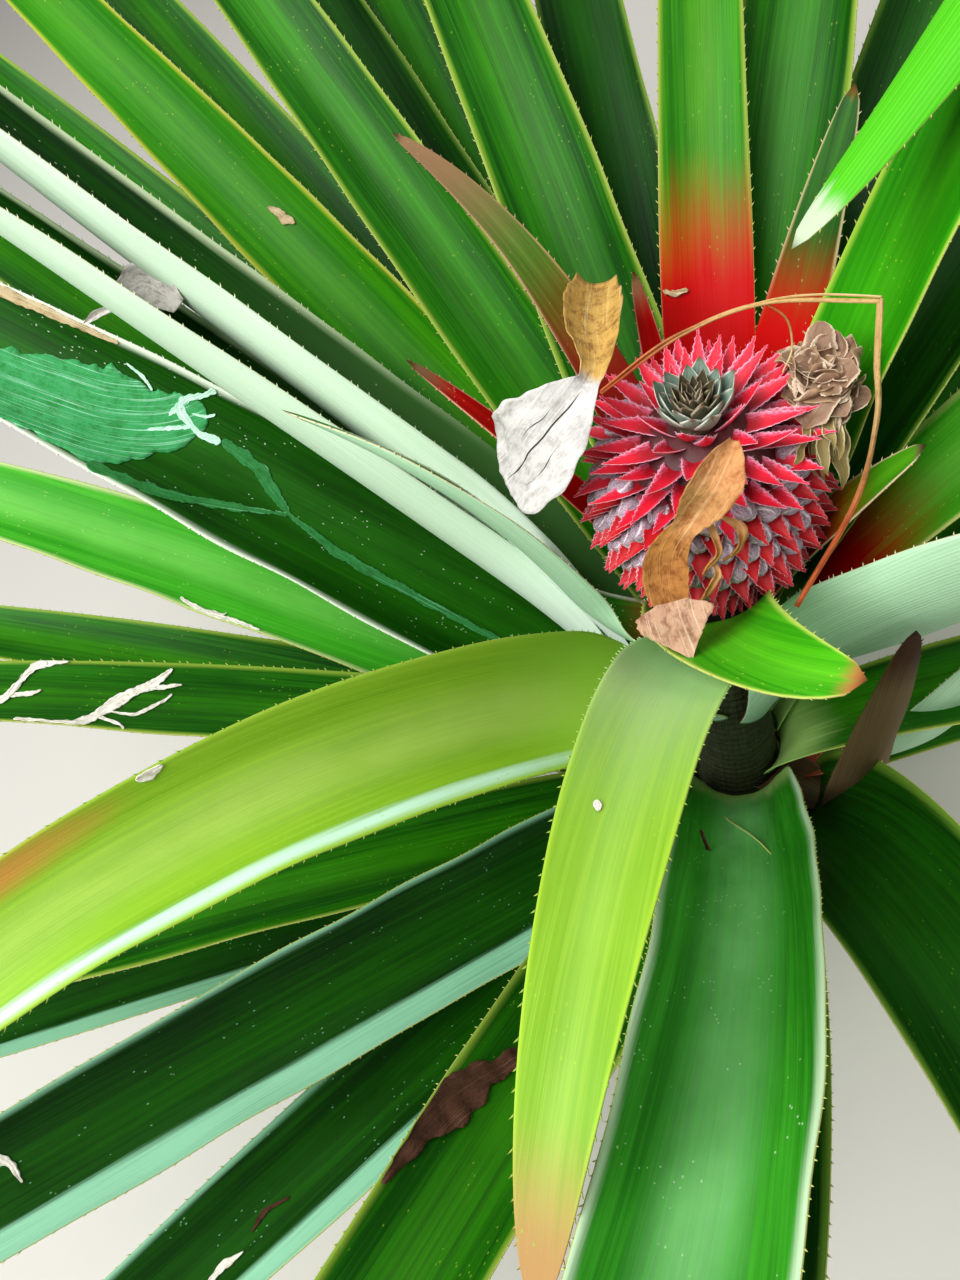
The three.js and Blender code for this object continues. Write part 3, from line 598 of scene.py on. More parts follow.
def stemRadius(height):
    if height < stem["flareHeight"]:
        share = 1 - height / stem["flareHeight"]
        return stem["lowRadius"] + (stem["footRadius"] - stem["lowRadius"]) * share * share
    share = (height - stem["flareHeight"]) / (stem["height"] - stem["flareHeight"])
    return mixed(stem["lowRadius"], stem["topRadius"], min(share, 1))


def leafHeading(leaf, u):
    settle = np.exp(-u * leaf["length"] / leaf.get("relax", blade["relaxLength"]))
    turn = leaf.get("fold") or leaf.get("knee")
    turned = turn["angle"] * smooth((u - turn["at"]) / turn["soft"] + 0.5) if turn else 0.0
    rise = mixed(leaf["rise"], blade["startRise"], settle) - leaf["bend"] * u * u - turned
    return np.radians(rise), np.radians(leaf["azimuth"] + leaf.get("swing", 0) * u * u)


def wayOf(rise, heading):
    return pairs(np.cos(rise) * np.cos(heading), np.cos(rise) * np.sin(heading), np.sin(rise))


def leafFrame(leaf):
    # The middle line of a leaf and the axes of its sections, row by row
    rows = int(leaf["length"] / blade["rowStep"])
    share = np.linspace(0, 1, rows + 1) ** blade["rowPower"]
    foot = stem["height"] - leaf["drop"]
    grip = stemRadius(foot) + blade["gripRoom"] - blade["gripDepth"]
    start = grip + blade["gripDepth"]
    azimuth = math.radians(leaf["azimuth"])
    fine = blade["fineSteps"]
    steps = np.interp(np.arange(rows * fine + 1) / fine, np.arange(rows + 1), share)
    middle = (steps[1:] + steps[:-1]) / 2
    rise, heading = leafHeading(leaf, middle)
    run = np.diff(steps) * leaf["length"]
    moves = wayOf(rise, heading) * run[:, None]
    line = np.concatenate([np.zeros((1, 3)), np.cumsum(moves, axis=0)])[::fine]
    line = line + [start * math.cos(azimuth), start * math.sin(azimuth), foot]
    rise, heading = leafHeading(leaf, share)
    along = wayOf(rise, heading)
    across = np.stack([-np.sin(heading), np.cos(heading), np.zeros_like(heading)], -1)
    up = np.cross(along, across)
    roll = np.radians(leaf.get("roll", 0)) * smooth(share / blade["rollShare"])[:, None]
    side = across * np.cos(roll) + up * np.sin(roll)
    face = up * np.cos(roll) - across * np.sin(roll)
    reach = np.hypot(line[:, 0], line[:, 1]) / np.maximum(np.sin(rise), blade["leastClimb"])
    curve = (reach ** -3.0 + leaf.get("hollow", blade["hollow"]) ** -3.0) ** (-1 / 3)
    base = min(2 * grip * math.radians(blade["gripAngle"]), leaf["width"])
    taper = np.clip((share - blade["taperShare"]) / (1 - blade["taperShare"]), 0, 1)
    full = leaf["width"] * np.sqrt(1 - taper ** blade["taperPower"]) * (1 - blade["narrowing"] * taper)
    width = np.minimum(mixed(base, leaf["width"], smooth(share / leaf.get("open", blade["openShare"]))), full)
    return share, line, side, face, curve, width / 2


def leafPoint(sections, places, depth):
    # Points of the blade: places are shares of the half width, depth is below the upper side
    line, side, face, curve, half = sections[1:]
    angle = (half / curve)[:, None] * places
    radius = curve[:, None] + depth
    out = (radius * np.sin(angle))[..., None] * side[:, None]
    return line[:, None] + out + (curve[:, None] - radius * np.cos(angle))[..., None] * face[:, None]


def leafRelief(seed, far, places, half):
    # How far the upper side stands above the plain blade: fluttering margins and slow ridges
    far, places, half = np.broadcast_arrays(far, places, half)
    flutter = [ripple(pairs(far, float(end)), seed * 2 + end, blade["waveSize"]) for end in (0, 1)]
    lift = np.where(places < 0, *flutter) * np.abs(places) ** 3 * blade["wave"]
    across = places * half * blade["ridgeNarrowing"]
    ridge = ripple(pairs(across, far), seed + 7, blade["ridgeSize"]) * blade["ridge"]
    calm = smooth(far / blade["calmLength"]) * np.clip(half / blade["calmHalfWidth"], 0, 1)
    return lift * calm + ridge


def buildLeaf(name, leaf, seed):
    rng = np.random.default_rng(seed)
    sections = leafFrame(leaf)
    share, half = sections[0], sections[5]
    spread = np.linspace(-1, 1, blade["columns"] + 1)
    places = np.sign(spread) * (1 - (1 - np.abs(spread)) ** blade["columnPower"])
    places = np.broadcast_to(places, (len(share), len(spread)))
    far = (share * leaf["length"])[:, None]
    relief = leafRelief(seed, far, places, half[:, None])
    upper = leafPoint(sections, places, -relief)
    body = np.minimum(blade["middleThickness"], half / 4)[:, None]
    inward = 1 - np.abs(places) ** blade["thicknessPower"]
    lower = leafPoint(sections, places, mixed(np.minimum(blade["edgeThickness"], body), body, inward) - relief)
    lay, shares = pairs(places * half[:, None], far) * mm, pairs((places + 1) / 2, share[:, None])
    pile = Pile()
    pile.sheet(upper, lower, lay, shares, (0, 1, 2))
    count = int(leaf["length"] / blade["spineStep"])
    first, last = blade["spineSpan" if leaf["length"] > blade["shortLeaf"] else "shortSpineSpan"]
    for column, outward in ((0, -1), (-1, 1)):
        at = (np.arange(count) + rng.uniform(0.2, 0.8, count)) / count
        at = at[(at > first) & (at < last)]
        row = np.interp(at, share, np.arange(len(share)))
        low = np.minimum(row.astype(int), len(share) - 2)
        part = (row - low)[:, None]
        edge, inner = ((upper[:, side] + lower[:, side]) / 2 for side in (column, column - outward))
        root = mixed(edge[low], edge[low + 1], part)
        ahead = unit(edge[low + 1] - edge[low])
        away = unit(root - mixed(inner[low], inner[low + 1], part))
        length = (blade["spineLength"] * rng.uniform(0.6, 1.25, len(at)))[:, None]
        tips = root + away * length * 0.75 + ahead * length * 0.85
        pile.spikes(root - away * 0.25, tips, blade["spineRadius"], ahead, 2, pairs((outward + 1) / 2, at))
    nodes = [name, name + "_tip"] if leaf.get("cut") else [name]
    slot = {"heart": "heart_leaf", "dead": "dry_leaf"}.get(name.split("_")[0], "leaf")
    return pile.build(name + "_blade", leafMaterials(name, leaf["paint"], seed * 0.731), nodes, slot)


leafSeeds = {name: number + 11 for number, name in enumerate(leafTable)}
for name, leaf in leafTable.items():
    buildLeaf(name, leaf, leafSeeds[name])
print("Leaves are grown:", len(leafTable))


# Stem and fruit stalk: leaf scars ring the stem closely
stalk = {"top": 390, "radius": 11, "shoulder": 15, "taper": 12, "gap": 0.3, "rows": 32, "columns": 48,
         "scarStep": 7, "scarDepth": 1.2, "stemRowStep": 1.6, "stemColumns": 72}
stemMaterial = dryMaterial("stem_bark", "2e3418", "161c0a", "5c6238", 0.8, 4.0, 0.8, 0.001, 0.5)


def roundForm(profile, columns, wobble=0.0, seed=0):
    turn = np.linspace(0, 2 * math.pi, columns, endpoint=False)
    radius, height = np.asarray(profile, float).T[:, :, None]
    rings = pairs(radius * np.cos(turn), radius * np.sin(turn), height)
    if wobble:
        rings = rings + unit(rings * [1, 1, 0]) * (ripple(rings, seed, 18) * wobble)[..., None]
    return rings


def buildStem():
    pile = Pile()
    heights = np.arange(0, stem["height"] + 0.1, stalk["stemRowStep"])
    scar = np.abs((heights / stalk["scarStep"]) % 1 - 0.5) * 2
    radii = [stemRadius(h) - stalk["scarDepth"] * s ** 4 for h, s in zip(heights, scar)]
    radii[0] = stem["footRadius"]
    pile.rings(roundForm(list(zip(radii, heights)), stalk["stemColumns"], 0.3, 5))
    pile.build("stem_bark", [stemMaterial], ["stem"], "stem")
    low = stem["height"] + stalk["gap"]
    heights = np.linspace(low, stalk["top"], stalk["rows"])
    ends = np.minimum(heights - low, stalk["top"] - heights) / stalk["taper"]
    radii = mixed(stalk["shoulder"], stalk["radius"], smooth(ends))
    pile = Pile()
    pile.rings(roundForm(list(zip(radii, heights)), stalk["columns"], 0.4, 6))
    pile.build("peduncle_skin", [stemMaterial], ["peduncle"], "stem")


buildStem()
print("Stem is built")

# Fruit: a young head of small fruits, each a closed violet bud above its red bract, under a star of long
# bracts. The topmost bracts, the heart of that star, lean in round the crown.
fruit = {
    "bottom": 390.3, "top": 480, "radius": 42, "endRadius": 13, "fullness": 0.6, "coreInset": 1.5,
    "count": 262, "lowShare": 0.04, "topShare": 0.992, "goldenAngle": 137.508, "crowding": 0.3,
    "lowTilt": -30, "topTilt": 17, "tiltPower": 0.8, "tiltScatter": 4, "rootDepth": 3, "rootLength": 2,
    "lowLength": 15, "lowWidth": 16, "lowCup": 4.4, "lowCurl": -26, "lowKeen": 1.0,  # under the buds
    "starShare": 0.7, "starSoft": 0.16, "starLength": 23, "starWidth": 11, "starCup": 2.4, "starCurl": 18,
    "starKeen": 1.3, "heartShare": 0.95, "heartSoft": 0.04, "heartLength": 16, "heartTilt": 26,
    "heartDepth": 3.5, "sizeScatter": 0.1, "curlScatter": 6, "teeth": 0.55, "rows": 18, "columns": 9,
    "budShare": 0.78, "bud": 5.2, "budScatter": (0.9, 1.08), "budDepth": 2.2, "budLean": 12,
    "hairs": 15, "hairLength": 1.3, "hairRadius": 0.09,
}


def fruitRadius(share):
    return mixed(fruit["endRadius"], fruit["radius"], np.sin(share * math.pi) ** fruit["fullness"])


def makeFruitMaterials():
    def paintBract(dark, bright, bloomAndHighlight, reach):
        def paint(tree, lay, share):
            axes = axesOf(tree, share)
            edge = edgeOf(tree, axes)
            streak = grain(tree, lay, (1500, 260, 1), 4.0, 0.65)
            fuzz = grain(tree, lay, (3000, 1100, 1), 3.0, 0.7)
            # Each bract is darker red towards its root: painted shade where it tucks under the bud and the
            # bracts above.
            colour = blend(tree, fade(tree, axes[1], 0.12, 0.5), tone(dark), tone(bright))
            # Pink and white streaks towards the margins: the bracts' hoary bloom and fringe of hairs, and also
            # painted highlights on those hairs, strongest on the star bracts.
            hoaryAndHighlight = scaled(tree, streak, 0.9, scaled(tree, edge, reach))
            colour = blend(tree, fade(tree, hoaryAndHighlight, 0.66, 1.12), colour, tone(bloomAndHighlight))
            white = scaled(tree, fuzz, 0.55, scaled(tree, edge, 0.8))
            colour = blend(tree, fade(tree, white, 0.94, 1.16), colour, tone("f6d8e4"))
            return colour, scaled(tree, fuzz, 0.25, 0.4), calc(tree, "ADD", fuzz, streak)
        return paint

    def paintBud(tree, lay, share):
        axes = axesOf(tree, share)
        mealy = grain(tree, lay, (1300, 1300, 1), 4.0, 0.7)
        streak = grain(tree, share, (16, 2, 1), 3.0, 0.6)
        colour = blend(tree, fade(tree, streak, 0.35, 0.65), tone("84606e"), tone("ae9cac"))
        colour = blend(tree, fade(tree, mealy, 0.46, 0.7), colour, tone("d2cad4"))
        rim = calc(tree, "FRACT", scaled(tree, axes[1], 0.75, scaled(tree, axes[0], 3.0)))
        colour = blend(tree, fade(tree, rim, 0.84, 0.97), colour, tone("e8dde2"))
        # The foot of each bud, where it sits down in its bract, turns dark red-violet: painted shade.
        colour = blend(tree, fade(tree, axes[1], 0.34, 0.04), colour, tone("8c1230"))
        return colour, scaled(tree, mealy, 0.2, 0.5), calc(tree, "ADD", mealy, streak)

    def paintGrain(size, first, second, detail, rough, more, dull):
        def paint(tree, lay, share):
            mealy = grain(tree, lay, (size, size, 1), detail, rough)
            return blend(tree, mealy, tone(first), tone(second)), scaled(tree, mealy, more, dull), mealy
        return paint

    return {
        "bract": makeMaterial("bract_red", paintBract("54040a", "c00614", "ec4868", 0.3), bump=0.5),
        "star": makeMaterial("bract_star", paintBract("a40a1c", "e41230", "f684ac", 0.5), bump=0.5),
        "bud": makeMaterial("bud_violet", paintBud, bump=0.5, Specular_IOR_Level=0.3),
        "core": makeMaterial("fruit_core", paintGrain(300, "1c0204", "5c0810", 4.0, 0.7, 0.2, 0.5), bump=0.5),
        "hair": makeMaterial("bract_hair", paintGrain(900, "f8e4ec", "eaa4bc", 2.0, 0.5, 0.1, 0.6), bump=0.1),
    }


fruitMaterials = makeFruitMaterials()


def placeOn(azimuth, tilt):
    # Axes of a part that leans out of the plant's axis: along, across and its upper face
    out = np.array([math.cos(azimuth), math.sin(azimuth), 0.0])
    tilt = np.asarray(tilt)[..., None]
    along = out * np.cos(tilt) + [0.0, 0.0, 1.0] * np.sin(tilt)
    across = np.array([-out[1], out[0], 0.0])
    return along, across, np.cross(along, across)


scale = {"fullPower": 0.8, "belly": 0.5, "neck": 0.86, "skew": 0.12, "leastHalf": 0.12, "thickness": 0.9,
         "edgeThinning": 0.75, "tipThinning": 0.8, "leastThickness": 0.12}


def bractGrid(root, azimuth, tilt, length, width, cup, curl, rng, rows, cols, teeth, keen):
    # A pointed, cupped scale that curls from its root: curl is how many degrees it turns up towards its tip.
    # Teeth notch its margins, and a keener one narrows sooner.
    share = np.linspace(0, 1, rows)[:, None]
    along, across, face = placeOn(azimuth, tilt + np.radians(curl) * share[:, 0])
    moves = along * length / (rows - 1)
    moves[0] = root
    spread = np.linspace(-1, 1, cols)
    half = width / 2 * (1 - share ** keen) ** scale["fullPower"]
    half = half * (scale["neck"] + scale["belly"] * share * (1 - share))
    half = half - teeth * (np.arange(rows)[:, None] % 2) * np.minimum(share * 4, 1)
    half = np.maximum(half, scale["leastHalf"])
    lift = cup * spread ** 2 * half / (width / 2)
    skew = rng.uniform(-scale["skew"], scale["skew"]) * length * share ** 2
    upper = np.cumsum(moves, axis=0)[:, None] + across * (skew + half * spread)[..., None]
    upper = upper + face[:, None] * lift[..., None]
    thinning = (1 - scale["edgeThinning"] * spread ** 2) * (1 - scale["tipThinning"] * share)
    lower = upper - face[:, None] * (scale["thickness"] * thinning + scale["leastThickness"])[..., None]
    return upper, lower, pairs(half * spread, share * length) * mm, pairs((spread + 1) / 2, share)


def budRings(root, azimuth, tilt, size, rng, rows=13, cols=24):
    # A closed bud of three sepals, each of which laps over the next
    along, across, face = placeOn(azimuth, tilt)
    polar = np.linspace(0.12, math.pi - 0.06, rows)
    turn = np.linspace(0, 2 * math.pi, cols, endpoint=False)
    depth = (1 - np.cos(polar)) / 2
    lap = (3 * turn[None, :] / (2 * math.pi) + 0.75 * depth[:, None]) % 1
    radius = size * np.sin(polar) ** 0.85 * (1 - 0.2 * depth ** 2)
    height = -size * 1.18 * np.cos(polar)
    reach = radius[:, None] * (0.76 + 0.36 * lap ** 0.8)
    twist = turn + rng.uniform(0, 2)
    middle = np.asarray(root, float) + along * size * 0.75
    return (middle + along * height[:, None, None] + across * (reach * np.cos(twist))[..., None]
            + face * (reach * np.sin(twist))[..., None])


def marginHairs(pile, upper, rng, count, length, radius):
    for column, inner in ((0, 1), (-1, -2)):
        at = rng.uniform(0.8, len(upper) - 1.3, count)
        low = at.astype(int)
        part = (at - low)[:, None]
        root = mixed(upper[low, column], upper[low + 1, column], part)
        inside = mixed(upper[low, inner], upper[low + 1, inner], part)
        away = unit(root - inside)
        ahead = unit(upper[low + 1, column] - upper[low, column])
        reach = (length * rng.uniform(0.5, 1.3, count))[:, None]
        tips = root + away * reach * 0.7 + ahead * reach * 0.6 + rng.normal(0, 0.15, (count, 3))
        pile.spikes(root - away * 0.1, tips, radius, ahead)


def buildFruit():
    rng = np.random.default_rng(31)
    share = np.linspace(0, 1, 40)
    core = Pile()
    heights = mixed(fruit["bottom"], fruit["top"], share)
    core.rings(roundForm(list(zip(fruitRadius(share) - fruit["coreInset"], heights)), 72, 0.8, 9))
    core.build("fruit_core", [fruitMaterials["core"]], ["fruit"], "fruit")
    piles = {key: Pile() for key in ("bract", "star", "bud", "hair")}
    fine = np.linspace(fruit["lowShare"], fruit["topShare"], 400)  # for scales spaced along the skin
    slope = np.hypot(np.gradient(fruitRadius(fine)), np.gradient(mixed(fruit["bottom"], fruit["top"], fine)))
    skin = np.cumsum(slope * fruitRadius(fine) ** fruit["crowding"])
    skin = (skin - skin[0]) / (skin[-1] - skin[0])
    least, most = 1 - fruit["sizeScatter"], 1 + fruit["sizeScatter"]
    for index in range(fruit["count"]):
        share = float(np.interp(index / (fruit["count"] - 1), skin, fine))
        azimuth = math.radians(index * fruit["goldenAngle"])
        star = float(smooth((share - fruit["starShare"]) / fruit["starSoft"]))
        heart = float(smooth((share - fruit["heartShare"]) / fruit["heartSoft"]))
        tilt = mixed(fruit["lowTilt"], fruit["topTilt"], share ** fruit["tiltPower"])
        tilt = math.radians(tilt + rng.normal(0, fruit["tiltScatter"]) + fruit["heartTilt"] * heart)
        out = np.array([math.cos(azimuth), math.sin(azimuth), 0.0])
        skinPoint = out * fruitRadius(share) + [0, 0, mixed(fruit["bottom"], fruit["top"], share)]
        root = skinPoint - out * (fruit["rootDepth"] + fruit["heartDepth"] * heart)
        length = mixed(fruit["lowLength"], fruit["starLength"], star)
        length = mixed(length, fruit["heartLength"], heart) * rng.uniform(least, most)
        width = mixed(fruit["lowWidth"], fruit["starWidth"], star) * rng.uniform(least, most)
        cup = mixed(fruit["lowCup"], fruit["starCup"], star)
        curl = mixed(fruit["lowCurl"], fruit["starCurl"], star) + rng.normal(0, fruit["curlScatter"])
        grids = bractGrid(root, azimuth, tilt, length + fruit["rootLength"], width, cup, curl, rng,
                          fruit["rows"], fruit["columns"], fruit["teeth"],
                          mixed(fruit["lowKeen"], fruit["starKeen"], star))
        piles["star" if star > 0.5 else "bract"].sheet(*grids)
        marginHairs(piles["hair"], grids[0], rng, fruit["hairs"], fruit["hairLength"], fruit["hairRadius"])
        if share < fruit["budShare"]:
            seat = skinPoint - out * fruit["budDepth"] + placeOn(azimuth, tilt)[2] * fruit["bud"]
            size = fruit["bud"] * rng.uniform(*fruit["budScatter"])
            piles["bud"].rings(budRings(seat, azimuth, tilt + math.radians(fruit["budLean"]), size, rng))
    for key, name in (("bract", "bracts"), ("star", "star_bracts"), ("bud", "buds"), ("hair", "hairs")):
        piles[key].build("fruit_" + name, [fruitMaterials[key]], (), "fruit")


buildFruit()
print("Fruit is built")

# Crown: a small cup of sage scales round a dark brown heart. A root is a radius and a height.
crown = {
    "bottom": 480.3, "height": 12, "radius": 9, "count": 36, "outerLength": 18, "innerLength": 8,
    "outerWidth": 14, "innerWidth": 4, "outerTilt": 34, "innerTilt": 80, "tiltScatter": 3, "heartShare": 0.42,
    "outerRoot": (8.5, 2.5), "innerRoot": (2.5, 8), "cup": 2.6, "outerCurl": 46, "innerCurl": 6,
    "firstTurn": 20, "rows": 12, "columns": 9, "teeth": 0.12, "keen": 2.0,
}


def scaleMaterial(name, base, pale, rim, tip):
    def paint(tree, lay, share):
        axes = axesOf(tree, share)
        mealy = grain(tree, lay, (1400, 700, 1), 4.0, 0.7)
        streak = grain(tree, share, (12, 2, 1), 3.0, 0.6)
        colour = blend(tree, streak, tone(base), tone(pale))
        margin = fade(tree, scaled(tree, mealy, 0.25, edgeOf(tree, axes)), 0.86, 1.12)
        colour = blend(tree, margin, colour, tone(rim))
        colour = blend(tree, fade(tree, axes[1], 0.82, 1.0), colour, tone(tip))
        return colour, scaled(tree, mealy, 0.2, 0.55), calc(tree, "ADD", mealy, streak)
    return makeMaterial(name, paint, bump=0.5)


def buildCrown():
    rng = np.random.default_rng(57)
    pile = Pile()
    heights = np.linspace(0, 1, 8)
    radii = crown["radius"] * (1 - 0.55 * heights ** 3)
    pile.rings(roundForm(list(zip(radii, crown["bottom"] + (crown["height"] - 3) * heights)), 36), 1)
    for index in range(crown["count"]):
        share = index / (crown["count"] - 1)
        azimuth = math.radians(index * fruit["goldenAngle"] + crown["firstTurn"])
        scatter = rng.normal(0, crown["tiltScatter"])
        tilt = math.radians(mixed(crown["outerTilt"], crown["innerTilt"], share) + scatter)
        out = np.array([math.cos(azimuth), math.sin(azimuth), 0.0])
        radius, height = mixed(np.array(crown["outerRoot"]), crown["innerRoot"], share)
        length, width, curl = (mixed(crown["outer" + key], crown["inner" + key], share)
                               for key in ("Length", "Width", "Curl"))
        root = out * radius + [0, 0, crown["bottom"] + height]
        form = (crown[key] for key in ("rows", "columns", "teeth", "keen"))
        grids = bractGrid(root, azimuth, tilt, length, width, crown["cup"], curl, rng, *form)
        pile.sheet(*grids, 0 if share < crown["heartShare"] else 1)
    materials = [scaleMaterial("crown_sage", "4c6654", "a2b8a6", "e4e4d4", "6a4a34"),
                 scaleMaterial("crown_heart", "2a2618", "625a3c", "b8a88c", "6a4a34")]
    pile.build("crown_scales", materials, ["crown"], "crown")


buildCrown()
print("Crown is built")

# Dry things that lie in the rosette: two curled leaves, a bent straw and a withered, crumpled leaf.
# Cup is how far the margins rise, and tissue the two tones, with the shares of the length where the first one
# begins to pass into the second and where it has. The second material is that of the cracks or the ribbons.
dryTable = {
    "dry_leaf_left": {
        "line": [[-37, 90, 479], [-38, 49, 494], [-37, 13, 503], [-48, -3, 502], [-65, -10, 489],
                 [-81, -6, 467]],
        "width": [17, 24, 25, 22, 13, 8, 19, 30, 40, 45, 42, 10], "facing": [0.2, -0.3, 1], "turn": 10,
        "cup": [5, 8, 7, 2, 3, 4, 4, 1], "tissue": (("tan", 0.4), ("grey", 0.47)), "second": "crack",
        "cracks": [(10, 50, 97, 0.35), (13, 62, 80, 0.18), (6, 70, 90, 0.2)],  # column, rows and radius
    },
    "dry_leaf_front": {
        "line": [[12, -36, 507], [4, -50, 502], [-6, -52, 486], [-16, -56, 470], [-17, -66, 456],
                 [-14, -74, 450]],
        "width": [3, 12, 18, 17, 13, 9, 14, 18, 18, 15, 9, 3], "facing": [-0.1, -1, 0.5], "turn": -15,
        "cup": [2, 5, 4, 1, 4, 4, 1], "tissue": (("buff", 0.42), ("rust", 0.52)), "second": "pink",
        "ribbons": [  # torn strips beside the leaf and the scrap at its foot, each with its widths
            ([[-2, -45, 482], [1, -52, 476], [2, -58, 470], [-4, -63, 464]], [1, 3, 2.4, 0.6]),
            ([[5, -46, 476], [11, -48, 471], [10, -53, 466], [4, -56, 461]], [1, 4.5, 3.5, 0.6]),
            ([[0, -58, 466], [1, -62, 461], [-4, -65, 455], [-8, -68, 452]], [1, 3, 3.4, 0.6]),
            ([[-17, -70, 459], [-16, -77, 456], [-14, -83, 451], [-12, -89, 447]], [10, 30, 30, 21, 14, 7, 1]),
        ],
    },
}
dryLook = {
    "rows": 100, "columns": 21, "thickness": 0.8, "notch": 0.05, "notchSize": 7, "crinkle": 1.1,
    "crinkleSize": 16, "fineCrinkle": 0.4, "fineCrinkleSize": 6, "stainShare": 0.8, "crackDrift": 1.2,
    "crackDriftSize": 22,
    "crackEnd": 8, "ribbonCup": [0.5, 1.4, 1.2, 0.4], "ribbonFacing": (0.1, -1, 0.8), "ribbonTurn": 50,
    "broadRibbon": 9,
}
straw = {
    "stalk": [[-34, -2, 506], [-2, 10, 516], [29, 14, 520], [65, -3, 527]], "stalkSizes": (0.75, 1.05),
    "foot": [[65, -3, 527], [63, -15, 511], [62, -27, 495], [54, -41, 466], [30, -64, 434]],
    "footSizes": (1.1, 0.8), "shoot": [[29, 14, 520], [36, 9, 515], [37, 3, 506], [33, -2, 500]],
    "shootRadii": (0.8, 0.3), "shootRows": 30,
    "radius": 1.35, "flat": 0.5, "rows": 80, "strand": 0.6, "strandFlat": 0.7, "strandTurns": 9,
    "strandPlace": [0.3, 0.2, 0.9], "strandSway": [0.5, 0.4, 0.9],
}
withered = {"centre": [50, 14, 475], "size": [15, 20, 18], "plates": 84, "strips": 14, "rows": 26,
            "columns": 40}
witheredPlate = {  # its ranges are in radians, millimetres and degrees of curl
    "tilt": (-1.3, 0.8), "length": (8, 15), "width": (11, 17), "cup": (-2, 4), "curl": (-60, 130),
    "rows": 16, "columns": 11, "teeth": 0.3, "keen": 4.0, "crease": 1.3, "creaseSize": 9,
}
witheredStrip = {
    "tilt": (-0.9, -0.1), "length": (18, 32), "width": (4, 9), "cup": 1.6, "curl": (-60, 50),
    "rows": 24, "columns": 8, "teeth": 0.1, "keen": 3.0, "crease": 1.6, "creaseSize": 11,
}

